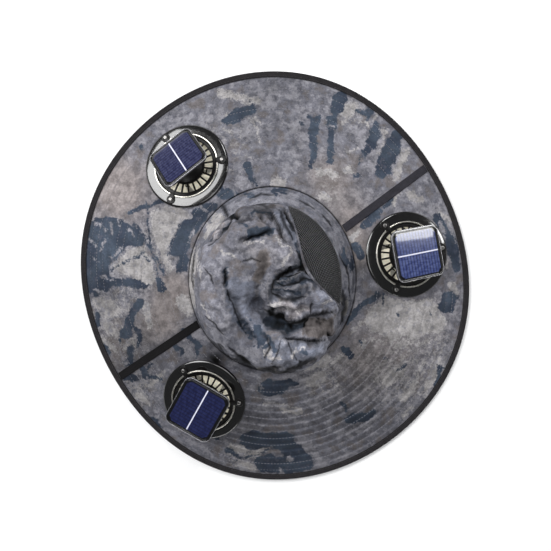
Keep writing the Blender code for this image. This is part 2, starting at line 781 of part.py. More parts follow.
def screw_mesh():
    return cylinder_mesh("fan_screw", SCREW_RADIUS, 0, SCREW_HEIGHT, 8)


def add_empty(name, parent, matrix):
    guide = bpy.data.objects.new(name, None)
    HAT.objects.link(guide)
    guide.parent = parent
    guide.matrix_local = matrix
    guide.empty_display_size = 0.02
    return guide


def build_fans():
    meshes = {"flange": flange_mesh(), "lock_ring": lock_ring_mesh(), "grille": grille_mesh(),
              "rotor": rotor_mesh(), "panel": tray_mesh(), "cells": cells_mesh(),
              "screw": screw_mesh()}
    for mesh in meshes.values():
        smooth_round(mesh)
    for (name, _, _, tip), seat in zip(FANS, SEATS):
        unit = add_empty(f"{name}_unit", None, seat.frame)
        add_node(f"{name}_flange", meshes["flange"], "black_gloss", unit)
        add_node(f"{name}_lock_ring", meshes["lock_ring"], "black_gloss", unit)
        add_node(f"{name}_grille", meshes["grille"], "black_gloss", unit)
        add_node(f"{name}_rotor", meshes["rotor"], "cream_plastic", unit)
        for number, turn in enumerate(LUG_TURNS, 1):
            place = Matrix.Translation((*polar(LUG_REACH, turn), LUG_TOP + CLEAR))
            add_node(f"{name}_screw_{number}", meshes["screw"], "screw_steel", unit, place)
        hinge = Matrix.Translation((0, 0, HINGE_HEIGHT)) @ Matrix.Rotation(tip, 4, "Y")
        tilt = add_empty(f"{name}_tilt", unit, hinge)
        add_node(f"{name}_panel", meshes["panel"], "black_gloss", tilt)
        add_node(f"{name}_cells", meshes["cells"], "solar_cells", tilt)


clear_scene()
HAT = new_collection("solar_fan_hat")
CUTTERS = new_collection("cutters")
build_brim()
build_binding()
build_tapes()
build_band()
build_crown()
build_window()
build_fans()
bpy.context.view_layer.update()
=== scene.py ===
"""Looks of the solar fan hat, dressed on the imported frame.

Metres, +Z up, in the frame's own coordinates. The cloth's folds and camouflage shapes are
placed by the photograph's pixels, which the camera below maps to the cloth.
"""
import json
from math import cos, pi, radians, sin, sqrt

import bmesh
import bpy
import numpy as np
from mathutils import Matrix, Vector


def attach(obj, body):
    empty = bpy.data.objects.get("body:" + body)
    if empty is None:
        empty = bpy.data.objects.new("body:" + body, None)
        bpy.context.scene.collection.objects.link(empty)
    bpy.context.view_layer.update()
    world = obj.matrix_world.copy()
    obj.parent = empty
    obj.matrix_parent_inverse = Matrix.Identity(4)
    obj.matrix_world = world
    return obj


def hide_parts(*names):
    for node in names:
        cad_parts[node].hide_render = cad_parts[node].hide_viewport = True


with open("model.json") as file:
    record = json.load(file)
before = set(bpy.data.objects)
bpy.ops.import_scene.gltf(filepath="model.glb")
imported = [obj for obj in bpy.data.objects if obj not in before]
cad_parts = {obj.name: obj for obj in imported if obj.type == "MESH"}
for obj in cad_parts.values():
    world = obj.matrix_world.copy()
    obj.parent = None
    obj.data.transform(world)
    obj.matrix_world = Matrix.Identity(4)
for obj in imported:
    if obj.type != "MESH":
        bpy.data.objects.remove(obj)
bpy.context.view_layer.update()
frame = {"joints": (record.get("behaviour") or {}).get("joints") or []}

# Camera, and the photograph's frame in pixels
CAMERA_AT = Vector((0.031, 0.039, 0.800))
CAMERA_AIM = Vector((0.0025, 0.0028, 0.0))
PHOTO_SIDE = 551
FOCAL_PIXELS = 694
SENSOR_MM = 36.0

MILLIMETRE = 0.001

# Sizes of the hat, mostly those of the solids
CLEAR = 0.0003
OUTLINE_LONG = 0.2350
OUTLINE_SHORT = 0.2207
OUTLINE_TURN = radians(106.5)
CORNER_RISE = 0.0022
CORNER_AT = radians(75)
BRIM_CLOTH = 0.0024
BRIM_SLACK = 1.03
BRIM_RISE = 0.0300
BRIM_BULGE = 0.0030
BINDING_CLOTH = 0.0010
BINDING_WIDTH = 0.0068
BINDING_MARGIN = 0.0007
BINDING_FLAP = 0.0066
BINDING_HEIGHT = 2 * (BINDING_CLOTH + CLEAR) + BRIM_CLOTH
TAPE_WIDTH = 0.0080
TAPE_CLOTH = 0.0010
TAPE_TURNS = {"right": (radians(35.3), radians(35.9)), "left": (radians(211.2), radians(212.8))}
HEAD_HALF_X = 0.0930
HEAD_HALF_Y = 0.1025
BAND_CLOTH = 0.0020
BAND_HEIGHT = 0.0270
BAND_INSET = 0.0153
BAND_SHIFT = (-0.0020, -0.0040)
CROWN_CLOTH = 0.0020
CROWN_HEIGHT = 0.0470
CROWN_SEAM = 0.0005
CROWN_SHIFT = (0.0, -0.0020)
CROWN_SAG = 0.150
SAG_AT = radians(-50)
SAG_HALF = radians(62)
SAG_TOP = 0.45
CROWN_PROFILE = np.array((
    # share, full height, full reach, sloping height, sloping reach
    (0.00, 0.00, 1.00, 0.00, 1.00),
    (0.10, 0.25, 1.00, 0.17, 0.94),
    (0.22, 0.56, 0.97, 0.38, 0.84),
    (0.34, 0.79, 0.89, 0.58, 0.72),
    (0.48, 0.93, 0.74, 0.78, 0.57),
    (0.62, 0.99, 0.54, 0.91, 0.42),
    (0.80, 1.00, 0.28, 0.98, 0.22),
    (1.00, 1.00, 0.00, 1.00, 0.00),
))
WINDOW_AT = radians(29)
WINDOW_HALF = radians(47)
WINDOW_SHARE = 0.49
WINDOW_END_SHARE = 0.035
CROWN_FOLDS = (
    # name, from x, from y, to x, to y, width, depth
    ("middle valley", -0.10, 0.22, -0.13, -0.30, 0.17, 0.16),
    ("lower valley", -0.13, -0.30, -0.24, -0.66, 0.16, 0.14),
    ("left slope", -0.36, 0.05, -0.28, -0.45, 0.10, 0.07),
    ("cross crease", -0.14, -0.22, 0.30, -0.29, 0.09, 0.22),
    ("cross crease end", 0.30, -0.29, 0.74, -0.22, 0.06, 0.13),
    ("lower crease", -0.08, -0.40, 0.62, -0.47, 0.06, 0.12),
    ("middle dent", 0.04, 0.08, 0.32, 0.10, 0.12, 0.13),
    ("top crease", -0.24, 0.41, 0.06, 0.50, 0.09, 0.11),
    ("pinch", -0.40, 0.64, -0.66, 0.37, 0.06, 0.08),
    ("gather", 0.10, 0.66, 0.27, 0.36, 0.07, 0.09),
    ("upper roll", 0.34, -0.05, 0.70, -0.08, 0.12, -0.07),
    ("middle roll", 0.20, -0.37, 0.70, -0.36, 0.06, -0.05),
    ("lower roll", 0.05, -0.56, 0.52, -0.60, 0.10, -0.08),
    ("left dome", -0.62, 0.10, -0.50, -0.35, 0.16, -0.06),
)
FOLD_FADE = 0.22
SEAT_RADIUS = 0.0500
BLEND_RADIUS = 0.0570
SEAT_BLEND = BLEND_RADIUS - SEAT_RADIUS
FLANGE_RADIUS = 0.0480
FLANGE_TOP = 0.0030
LIP_TOP = 0.0050
LIP_DEPTH = 0.0016
LIP_WIDTH = 0.0020
COLLAR_RADIUS = 0.0386
COLLAR_WALL = 0.0034
COLLAR_DEPTH = 0.0074
LEDGE_WIDTH = 0.0018
LEDGE_TOP = 0.0009
LOCK_RADIUS = 0.0450
LOCK_DEPTH = 0.0090
GUARD_BARS = 3
GUARD_HALF_WIDTH = 0.0009
GUARD_TOP = -0.0076
GUARD_RINGS = (0.0110, 0.0200, 0.0290)
GUARD_RING_WIDTH = 0.0014
GUARD_HUB = 0.0075
LUG_TURNS = (radians(120), radians(240), radians(0))
LUG_RADIUS = 0.0050
LUG_REACH = 0.0415
LUG_TOP = 0.0042
CLIP_START = 0.0336
CLIP_HALF_WIDTH = 0.0032
SCREW_RADIUS = 0.0024
SCREW_HEIGHT = 0.0013
GRILLE_TOP = 0.0028
GRILLE_RIM = 0.0040
GRILLE_MIDDLE = (0.0190, 0.0212)
GRILLE_RIBS = 24
RIB_START = 0.0200
RIB_HALF_WIDTH = 0.0010
MOTOR_FOOT = 0.0195
MOTOR_TOP_RADIUS = 0.0140
MOTOR_HEIGHT = 0.0070
NECK_RADIUS = 0.0030
HINGE_HEIGHT = 0.0212
EYE_RADIUS = 0.0034
EYE_WIDTH = 0.0060
ROTOR_TOP = 0.0
ROTOR_THICK = 0.0046
ROTOR_HUB = 0.0120
BLADE_REACH = 0.0322
BLADE_THICK = 0.0008
ROTOR_BLADES = 5
TRAY_LENGTH = 0.0605
TRAY_WIDTH = 0.0555
TRAY_CORNER = 0.0085
TRAY_THICK = 0.0036
TRAY_RIM = 0.0020
TRAY_FLOOR = 0.0016
TRAY_STAND = 0.0042
CELL_THICK = 0.0014
EAR_THICK = 0.0018
EAR_RADIUS = 0.0030
PIN_RADIUS = 0.0013
BRACE_REACH = 0.016
BRACE_HALF_LENGTH = 0.012
BRACE_DEPTH = 0.0008
PANEL_TIPS = {"fan_1": radians(12), "fan_2": radians(25), "fan_3": radians(-4)}

# Fineness of the dressed surfaces: rows, columns, segments and edges
BRIM_RINGS = 94
BRIM_COLUMNS = 480
CROWN_RINGS = 112
CROWN_COLUMNS = 320
BAND_RINGS = 20
BAND_COLUMNS = 384
RING_SEGMENTS = 128
TAPE_STATIONS = 90
TAPE_LANES = 19

SHARP_ANGLE = radians(40)
BAR_BEVEL = 0.0003
RING_BEVEL = 0.0004
PINHOLE = 0.0001

# Quilting rows and cloth of the brim
STITCH_ROWS = 15
ROW_SPAN = STITCH_ROWS + 0.5
ROW_GROOVE = 0.00045
ROW_PUFF = 0.00025
STITCH_PITCH = 0.0036
STITCH_LENGTH = 0.0029
STITCH_WIDTH = 0.0006
BINDING_STITCHES = 430
BINDING_STITCH_INSET = 0.0012
ROW_HIGHLIGHT_LEAST = 0.05
BRIM_GRAVEL_LEAST = 0.15

# Soft unevenness of the cloths
BRIM_WAVES = (
    # height, size, waves, seed, stretch of the places, folded over at zero
    (0.0006, 0.055, 9, 3, 1, False),
    (0.00025, 0.016, 14, 4, 1, False),
)
BAND_WAVES = (
    (0.0006, 0.030, 10, 11, 1, False),
    (0.0003, 0.011, 14, 12, (1, 1, 0.4), False),
)
CROWN_WAVES = (
    (0.0013, 0.060, 10, 21, (1, 1.5, 0.7), True),
    (0.0007, 0.030, 12, 22, (1.4, 1, 0.6), True),
    (-0.0004, 0.018, 14, 24, 1, True),
    (0.0002, 0.0065, 18, 23, 1, False),
)

# Folds, creases and seams of the crown and the band
CREASE_GAIN = 2.2
LINE_DEPTH = 0.0014
HEM_RISE = 0.0006
HEM_SEAM = 0.16
CALMING = 60
HOLLOW_SPREAD = 30
HOLLOW_DEPTH = 0.0016
HOLLOW_SHADE = 0.26
CROWN_BROWNNESS = -0.35

# Ragged edges of the printed shapes: share of the reach, size and waves, and one seed an axis
RAGGED_WAVES = ((0.9, 0.026, 9), (0.7, 0.011, 12), (0.45, 0.005, 16))
RAGGED_SEEDS = (31, 41)
BRIM_RAGGED = 1.1
CROWN_RAGGED = 1.8
FIELD_LIMIT = 12.0

# Window net and the hem beside it
HEM_HALF_WIDTH = 0.0016
HEM_HALF_HEIGHT = 0.0009
NET_COLUMNS = 60
NET_PITCH = 0.0023
NET_WIRE = 0.0009
NET_CLOTH = 0.0006
NET_BORDER = 0.0030


def smooth(share):
    share = np.clip(share, 0.0, 1.0)
    return share * share * (3 - 2 * share)


def bell(share):
    """1 at 0, falling softly to 0 on both sides."""
    return np.exp(-share ** 2)


def full_turn(count):
    return 2 * pi * np.arange(count) / count


def polar(radius, turn, height):
    return np.stack((radius * np.cos(turn), radius * np.sin(turn), height), axis=-1)


def ripple(points, size, waves, seed):
    """A smooth random field of about -1 to 1, with features of one size."""
    picks = np.random.default_rng(seed)
    aims = picks.normal(size=(waves, 3))
    aims *= 2 * pi / (size * np.linalg.norm(aims, axis=1, keepdims=True))
    starts = picks.uniform(0, 2 * pi, waves)
    total = np.zeros(points.shape[:-1])
    for aim, start in zip(aims, starts):
        total += np.sin(points @ aim + start)
    return total / sqrt(waves)


def rippled(points, layers):
    """Ripples of several sizes, added up."""
    total = np.zeros(points.shape[:-1])
    for height, size, waves, seed, stretch, folded in layers:
        wave = ripple(points * stretch, size, waves, seed)
        total += height * (np.abs(wave) if folded else wave)
    return total


def segment_place(x, y, start, end):
    """Share along a segment of the place nearest to each point, and the offset from it."""
    run_x, run_y = end[0] - start[0], end[1] - start[1]
    share = ((x - start[0]) * run_x + (y - start[1]) * run_y) / (run_x ** 2 + run_y ** 2)
    share = np.clip(share, 0, 1)
    return share, x - start[0] - share * run_x, y - start[1] - share * run_y


# Camera

AHEAD = (CAMERA_AIM - CAMERA_AT).normalized()
RIGHTWARDS = AHEAD.cross(Vector((0, 1, 0))).normalized()
UPWARDS = RIGHTWARDS.cross(AHEAD)


def seen(points):
    """Where points of the hat stand in the photograph, in pixels from its upper left."""
    offset = points - np.array(CAMERA_AT)
    depth = offset @ np.array(AHEAD)
    x = PHOTO_SIDE / 2 + FOCAL_PIXELS * (offset @ np.array(RIGHTWARDS)) / depth
    y = PHOTO_SIDE / 2 - FOCAL_PIXELS * (offset @ np.array(UPWARDS)) / depth
    return x, y


def add_camera():
    data = bpy.data.cameras.new("photo_camera")
    data.sensor_width = SENSOR_MM
    data.lens = SENSOR_MM * FOCAL_PIXELS / PHOTO_SIDE
    data.clip_start = 0.01
    camera = bpy.data.objects.new("photo_camera", data)
    bpy.context.scene.collection.objects.link(camera)
    turned = Matrix((RIGHTWARDS, UPWARDS, -AHEAD)).transposed().to_4x4()
    camera.matrix_world = Matrix.Translation(CAMERA_AT) @ turned
    bpy.context.scene.camera = camera


# Shape of the hat, as in the frame's source

def outline_radius(turn):
    along = np.cos(turn - OUTLINE_TURN) / OUTLINE_LONG
    across = np.sin(turn - OUTLINE_TURN) / OUTLINE_SHORT
    return 1 / np.hypot(along, across) + CORNER_RISE * np.cos(4 * (turn - CORNER_AT))


def flat_radius(turn):
    return outline_radius(turn) - BINDING_WIDTH - BINDING_MARGIN


def head_radius(turn):
    return 1 / np.hypot(np.cos(turn) / HEAD_HALF_X, np.sin(turn) / HEAD_HALF_Y)


def row_share(x, y):
    """A place between the head opening (0) and the brim's flat border (1)."""
    turn = np.arctan2(y, x)
    inner = head_radius(turn)
    return (np.hypot(x, y) - inner) / (flat_radius(turn) - inner)


class FanUnit:
    """One fan's frame on the brim, from its two joints: +X outwards, +Z out of the brim."""

    def __init__(self, name):
        self.name = name
        joints = {joint["name"]: joint for joint in frame["joints"]}
        spin, tilt = joints[f"{name}_spin"], joints[f"{name}_panel_tilt"]
        up = Vector(spin["axis"]).normalized()
        outward = Vector(tilt["axis"]).cross(up).normalized()
        self.centre = Vector(spin["pos_m"])
        self.matrix = Matrix((outward, up.cross(outward), up)).transposed().to_4x4()
        self.matrix.translation = self.centre
        self.tilted = (self.matrix @ Matrix.Translation((0, 0, HINGE_HEIGHT))
                       @ Matrix.Rotation(PANEL_TIPS[name], 4, "Y"))
        self.up = up
        self.seat = self.centre - up * BRIM_CLOTH

    def distance(self, x, y):
        return np.hypot(x - self.seat.x, y - self.seat.y)

    def seat_height(self, x, y):
        slope = self.up.x * (x - self.seat.x) + self.up.y * (y - self.seat.y)
        return self.seat.z - slope / self.up.z


UNITS = [FanUnit(name) for name in PANEL_TIPS]


def brim_height(x, y):
    """Underside of the brim."""
    share = np.clip(row_share(x, y), 0, 1)
    height = BINDING_CLOTH + CLEAR + BRIM_RISE * (1 - share) + 4 * BRIM_BULGE * share * (1 - share)
    for unit in UNITS:
        pressed = smooth((BLEND_RADIUS - unit.distance(x, y)) / SEAT_BLEND)
        height = height + (unit.seat_height(x, y) - height) * pressed
    return height


def tape_course(side):
    """Inner and outer end of a tape's middle line, seen from above."""
    inner_turn, outer_turn = TAPE_TURNS[side]
    inner = head_radius(inner_turn) + TAPE_CLOTH
    outer = outline_radius(outer_turn) - BINDING_WIDTH - CLEAR
    return (np.array((inner * cos(inner_turn), inner * sin(inner_turn))),
            np.array((outer * cos(outer_turn), outer * sin(outer_turn))))


def tape_distance(x, y):
    """Distance from the nearer tape's middle line."""
    nearest = np.full(np.shape(x), 1.0)
    for side in TAPE_TURNS:
        _, off_x, off_y = segment_place(x, y, *tape_course(side))
        nearest = np.minimum(nearest, np.hypot(off_x, off_y))
    return nearest


def fan_room(x, y):
    """0 on the fans' seats, 1 on the free brim."""
    room = np.ones(np.shape(x))
    for unit in UNITS:
        room = np.minimum(room, smooth((unit.distance(x, y) - SEAT_RADIUS) / SEAT_BLEND))
    return room


def calm_top(x, y):
    """The brim's upper face without its quilting."""
    share = np.clip(row_share(x, y), 0, 1)
    wave = rippled(np.stack((x, y, np.zeros(np.shape(x))), axis=-1), BRIM_WAVES)
    middle = 4 * share * (1 - share)
    return brim_height(x, y) + BRIM_CLOTH * BRIM_SLACK + wave * middle * fan_room(x, y)


def row_distance(x, y):
    """Distance from the nearest line of stitches, as a share of a row."""
    place = np.clip(row_share(x, y), 0, 1) * ROW_SPAN
    return np.abs(place - np.round(place))


def quilted_top(x, y):
    """The brim's upper face: puffed rows with a groove at each line of stitches."""
    share = np.clip(row_share(x, y), 0, 1)
    away = row_distance(x, y)
    relief = ROW_PUFF * np.sin(pi * away) - ROW_GROOVE * bell(away / 0.10)
    free = fan_room(x, y) * smooth((tape_distance(x, y) - TAPE_WIDTH / 2) / 0.002)
    inside = smooth((1 - share) / 0.03) * smooth(share / 0.02)
    return calm_top(x, y) + relief * free * inside


def band_point(share, turn):
    radius = head_radius(turn) - CLEAR - BAND_INSET * share
    height = BINDING_CLOTH + CLEAR + BRIM_RISE + BAND_HEIGHT * share
    return np.stack((radius * np.cos(turn) + BAND_SHIFT[0] * share,
                     radius * np.sin(turn) + BAND_SHIFT[1] * share,
                     height + 0 * turn), axis=-1)


def profile_curves():
    """The crown's profile as four smooth curves over 0 to 1."""
    fine = np.linspace(0, 1, 401)
    spread = bell(np.linspace(-2.5, 2.5, 49))
    spread /= spread.sum()
    curves = []
    for column in CROWN_PROFILE.T[1:]:
        values = np.interp(fine, CROWN_PROFILE[:, 0], column)
        padded = np.pad(values, 24, mode="reflect", reflect_type="odd")
        curves.append(np.convolve(padded, spread, mode="valid"))
    return fine, curves


PROFILE_SHARES, PROFILE_CURVES = profile_curves()


def turn_between(turn, other):
    return np.abs((turn - other + pi) % (2 * pi) - pi)


def source_folds(x, y):
    depth = np.zeros(np.shape(x))
    for _, x0, y0, x1, y1, width, share in CROWN_FOLDS:
        _, off_x, off_y = segment_place(x, y, (x0 * HEAD_HALF_X, y0 * HEAD_HALF_Y),
                                        (x1 * HEAD_HALF_X, y1 * HEAD_HALF_Y))
        depth += share * CROWN_HEIGHT * bell(np.hypot(off_x, off_y) / (width * HEAD_HALF_X))
    return depth


def crown_point(share, turn):
    edge = band_point(1.0, turn)
    slope = np.maximum(np.cos(turn_between(turn, WINDOW_AT)), 0.0) ** 0.8
    full_height, full_reach, low_height, low_reach = (
        np.interp(share, PROFILE_SHARES, curve) for curve in PROFILE_CURVES)
    height = full_height + (low_height - full_height) * slope
    reach = full_reach + (low_reach - full_reach) * slope
    sag = CROWN_SAG * smooth(1 - turn_between(turn, SAG_AT) / SAG_HALF)
    reach = reach + sag * np.sin(pi * np.minimum(share / SAG_TOP, 1.0))
    x = (edge[..., 0] - BAND_SHIFT[0]) * reach + BAND_SHIFT[0] + CROWN_SHIFT[0] * height
    y = (edge[..., 1] - BAND_SHIFT[1]) * reach + BAND_SHIFT[1] + CROWN_SHIFT[1] * height
    lift = CROWN_HEIGHT * height - source_folds(x, y) * smooth(share / FOLD_FADE)
    return np.stack((x, y, edge[..., 2] + CROWN_SEAM + lift), axis=-1)


def window_share(turn):
    place = turn_between(turn, WINDOW_AT) / WINDOW_HALF
    rise = np.maximum(1 - place ** 2, 0.0) ** 0.6
    share = WINDOW_END_SHARE + (WINDOW_SHARE - WINDOW_END_SHARE) * rise
    return np.where(place > 1 + 1e-6, 0.0, share)


# Courses drawn in the photograph's pixels

def near_course(x, y, points):
    """Distance to a line of points, the side (1 right of it, -1 left) and the share along."""
    steps = [np.hypot(b[0] - a[0], b[1] - a[1]) for a, b in zip(points, points[1:])]
    nearest = np.full(np.shape(x), 1e9)
    side = np.ones(np.shape(x))
    along = np.zeros(np.shape(x))
    passed = 0.0
    for start, end, step in zip(points, points[1:], steps):
        share, off_x, off_y = segment_place(x, y, start, end)
        away = np.hypot(off_x, off_y)
        closer = away < nearest
        nearest = np.where(closer, away, nearest)
        turned = (end[0] - start[0]) * off_y - (end[1] - start[1]) * off_x
        side = np.where(closer, np.sign(turned), side)
        along = np.where(closer, (passed + share * step) / sum(steps), along)
        passed += step
    return nearest, side, along


def inside_of(x, y, corners):
    """Distance inside a closed course, in pixels, negative outside it."""
    away, _, _ = near_course(x, y, (*corners, corners[0]))
    within = np.zeros(np.shape(x), bool)
    for (x0, y0), (x1, y1) in zip(corners, (*corners[1:], corners[0])):
        if y0 != y1:
            crossing = x0 + (y - y0) / (y1 - y0) * (x1 - x0)
            within ^= ((y0 > y) != (y1 > y)) & (x < crossing)
    return np.where(within, away, -away)


def patch_field(x, y, patches):
    """How far inside the nearest patch a place lies, in pixels, negative outside.

    A patch is a stroke, with its half widths at the start and the end, or an area."""
    field = np.full(np.shape(x), -FIELD_LIMIT)
    for kind, *points in patches:
        if kind == "area":
            inside = inside_of(x, y, points)
        else:
            last, *points = points
            away, _, along = near_course(x, y, points)
            inside = kind + (last - kind) * along - away
        field = np.maximum(field, inside)
    return np.minimum(field, FIELD_LIMIT)


def wandering(points, x, y, reach):
    """Pixel places pushed about by soft noise, so that shapes drawn there come out ragged."""
    moved = []
    for seed, place in zip(RAGGED_SEEDS, (x, y)):
        layers = [(*layer, seed + step, 1, False) for step, layer in enumerate(RAGGED_WAVES)]
        moved.append(place + reach * rippled(points, layers))
    return moved


def tone_field(x, y, spots):
    """Changes round several spots, each fading out over its reach, added up."""
    total = np.zeros(np.shape(x))
    for _, at_x, at_y, reach, change in spots:
        total += change * bell(np.hypot(x - at_x, y - at_y) / reach)
    return total


def area_fields(x, y, areas):
    """Change of brightness (painted light and shade, with print tone), and brownness, from the areas
    that each place lies in.
    """
    tone = np.zeros(np.shape(x))
    brown = np.full(np.shape(x), CROWN_BROWNNESS)
    for _, tone_change, brown_change, edge, *corners in areas:
        within = smooth(0.5 + inside_of(x, y, corners) / edge)
        tone += tone_change * within
        brown += brown_change * within
    return tone, brown


# Camouflage of the brim: half width at the start and the end of each shape, and its course
BRIM_DARK = (
    # upper left
    (4, 7, (227, 121), (238, 115)),
    (7, 5, (238, 115), (253, 108)),
    (1.2, 1, (249, 100), (251, 101)),
    (5, 1, (247, 167), (256, 186)),
    (2.2, 2, (142, 146), (143, 149)),
    (1.5, 1, (182, 104), (183, 105)),
    (6, 5, (222, 192), (240, 197)),
    (4, 2, (240, 199), (256, 193)),
    (3, 2, (214, 180), (226, 190)),
    # left
    (3, 2, (164, 200), (150, 205)),
    (2, 2, (150, 205), (128, 213)),
    ("area", (86, 228), (98, 219), (109, 216), (121, 218), (128, 225), (139, 230), (147, 238),
     (142, 246), (130, 246), (121, 252), (115, 259), (108, 266), (111, 276), (132, 280),
     (152, 285), (145, 290), (127, 286), (112, 286), (97, 296), (84, 292)),
    (5, 6, (212, 207), (199, 212)),
    ("area", (180, 224), (190, 219), (199, 208), (208, 205), (214, 210), (204, 222), (193, 236),
     (189, 252), (188, 272), (178, 273), (177, 257), (168, 256), (169, 248), (175, 238)),
    (1.1, 1.1, (145, 201), (148, 222), (150, 238), (154, 258), (159, 276)),
    (1.2, 1.2, (122, 219), (134, 230), (146, 243), (156, 257), (165, 274)),
    (1.0, 1.0, (134, 224), (148, 238)),
    (1.3, 1.1, (110, 271), (129, 261), (144, 253)),
    (1.0, 1.0, (143, 254), (149, 262)),
    ("area", (155, 276), (160, 275), (167, 289), (163, 295), (158, 292)),
    # lower left
    (5.5, 4, (140, 302), (133, 312)),
    (4.5, 6, (131, 318), (128, 334)),
    (3, 1, (122, 332), (120, 345)),
    (3.5, 2, (138, 330), (139, 346)),
    (3, 2, (96, 315), (97, 333)),
    (2, 1, (104, 346), (110, 356)),
    (4, 5, (130, 350), (130, 362)),
    (5, 3, (126, 377), (138, 379)),
    (3, 4, (142, 366), (147, 376)),
    (3, 1, (147, 376), (160, 379)),
    (2, 1, (150, 364), (148, 372)),
    (4, 2, (186, 332), (198, 345), (197, 356)),
    (3, 2, (176, 346), (181, 353)),
    (3, 1, (113, 398), (122, 406)),
    (2, 1, (131, 396), (136, 404)),
    (3, 2, (150, 418), (160, 428)),
    # upper right
    (7, 7.5, (340, 97), (337, 106)),
    (6, 3, (337, 106), (335, 114)),
    (1.5, 1, (364, 112), (370, 106)),
    (4, 2, (368, 113), (366, 118)),
    (2, 1, (358, 111), (366, 113)),
    (5, 5.5, (316, 120), (315, 130)),
    (3.6, 2.6, (314, 134), (311, 166)),
    (5.5, 4, (332, 121), (331, 128)),
    (3.8, 3.8, (331, 130), (330, 162)),
    (2, 2, (309, 116), (311, 118)),
    (1.4, 1.4, (302, 123), (303, 125)),
    (5.5, 5, (377, 128), (371, 144)),
    (5, 2.5, (371, 144), (366, 155)),
    (1.3, 1, (363, 152), (359, 166)),
    (6, 9, (397, 136), (391, 148)),
    (9, 8.5, (391, 148), (384, 166)),
    (8.5, 6, (384, 166), (381, 173)),
    (2.2, 1.5, (355, 177), (360, 176)),
    # right
    (6, 4, (376, 212), (364, 226)),
    (3, 2, (392, 198), (384, 206)),
    (5, 4, (437, 218), (446, 232)),
    (6, 7, (448, 236), (453, 252)),
    (5, 2, (455, 258), (458, 272)),
    (3, 4, (356, 244), (360, 256)),
    (1.4, 1.4, (383, 293), (382, 304)),
    (3, 3, (378, 294), (362, 306)),
    (3, 2, (362, 306), (346, 325)),
    (8.5, 8, (449, 299), (446, 306)),
    (1.6, 1.6, (396, 313), (397, 315)),
    (1.1, 1.1, (430, 313), (430, 314)),
    (4, 3.5, (344, 350), (350, 355)),
    (2, 2, (384, 357), (386, 360)),
    (1.5, 1.5, (361, 341), (363, 343)),
    (1.4, 1, (398, 371), (406, 364)),
    (3, 1.5, (441, 368), (436, 384)),
    # bottom
    (8.5, 6, (268, 388), (284, 387)),
    (3, 2, (290, 384), (298, 383)),
    (8, 8, (248, 440), (286, 440)),
    (9, 9, (286, 446), (306, 462)),
    (8, 9, (262, 464), (300, 464)),
    (2.5, 1.5, (341, 403), (347, 409)),
    (5, 4, (350, 420), (372, 414)),
    (1, 0.8, (236, 460), (254, 455), (272, 449)),
    (3, 3, (205, 428), (216, 438)),
    (3, 2, (228, 450), (238, 456)),
)
BRIM_LIGHT = (
    # upper left
    (3.5, 3, (220, 92), (238, 98), (259, 101)),
    (1.6, 1.6, (228, 115), (229, 116)),
    (1.4, 1, (252, 120), (258, 130), (260, 143)),
    (1.2, 1, (256, 118), (262, 124)),
    (1.5, 1.5, (224, 130), (230, 134)),
    (6, 5, (276, 182), (281, 183)),
    ("area", (151, 214), (166, 206), (181, 206), (192, 216), (180, 224), (173, 238), (166, 252),
     (175, 268), (168, 272), (158, 250), (153, 236)),
    ("area", (131, 248), (143, 247), (148, 253), (154, 270), (155, 280), (133, 279), (119, 272),
     (112, 265), (123, 256)),
    # lower right
    ("area", (433, 364), (441, 361), (439, 372), (434, 386), (427, 396), (421, 396), (425, 384),
     (429, 374)),
    (1.8, 1.2, (421, 366), (417, 380)),
    (1.4, 1, (411, 389), (418, 393)),
    (1.6, 1.2, (404, 417), (413, 407)),
    # lower left
    (4, 4, (138, 279), (150, 281)),
    (7, 6, (183, 301), (188, 310)),
    (5, 4, (98, 302), (112, 306)),
    (4, 3, (104, 314), (118, 312)),
    (5, 3, (108, 326), (116, 334)),
    (4, 3, (146, 304), (150, 326)),
    (4, 2, (104, 342), (116, 350)),
    (2, 1.2, (124, 348), (131, 340), (137, 352)),
    (3, 2, (152, 384), (164, 372)),
    (2, 1, (138, 388), (148, 384)),
    (4, 2, (140, 396), (150, 404)),
    (5, 4, (232, 450), (244, 448)),
    (4, 3, (240, 464), (252, 468)),
    (3, 2, (250, 455), (268, 446)),
    # upper right
    (6, 5, (346, 112), (354, 107)),
    (3, 2, (344, 122), (352, 116)),
    (2, 1.5, (360, 119), (368, 124)),
    (1.4, 1, (347, 152), (359, 147)),
    (1.6, 1.2, (384, 130), (378, 152)),
    (2, 1.5, (378, 112), (374, 120)),
    (4, 3, (320, 172), (336, 176)),
    (3, 3, (346, 168), (352, 172)),
    (4, 3, (322, 196), (330, 199)),
    (5, 4, (404, 152), (396, 176)),
    (4, 3, (410, 194), (422, 200)),
    (3, 2, (398, 190), (394, 206)),
    (4, 3, (350, 240), (358, 232)),
    (1.8, 1.2, (435, 224), (440, 234), (445, 246)),
    (1.8, 1.2, (440, 214), (450, 220)),
    (1.8, 1.2, (444, 256), (447, 268)),
    # right
    ("area", (376, 302), (384, 294), (398, 300), (416, 302), (432, 297), (438, 302), (440, 312),
     (446, 322), (440, 334), (426, 333), (414, 340), (400, 337), (392, 344), (384, 336),
     (371, 332), (364, 320), (370, 308)),
    (3, 2, (396, 346), (412, 342)),
    (2, 1.5, (418, 344), (430, 340)),
    (2, 1.5, (360, 322), (352, 334)),
    (1.5, 1.2, (372, 340), (384, 344)),
    (4, 2.5, (452, 286), (456, 292)),
    (3, 2.5, (440, 360), (428, 384)),
    (2.5, 2, (446, 366), (438, 384)),
    (2, 1.5, (377, 366), (375, 380)),
    (6, 5, (386, 380), (400, 372)),
    (4, 3, (404, 398), (414, 384)),
    (2, 2, (366, 340), (364, 346)),
    (6, 6, (310, 366), (324, 360)),
    (6, 5, (312, 382), (322, 376)),
    (3, 2, (334, 362), (342, 356)),
    # bottom
    (2.5, 2.5, (266, 403), (282, 407)),
    (4.5, 3, (284, 409), (301, 412)),
    (4, 4, (288, 459), (291, 461)),
    (3.5, 3.5, (281, 469), (283, 471)),
)
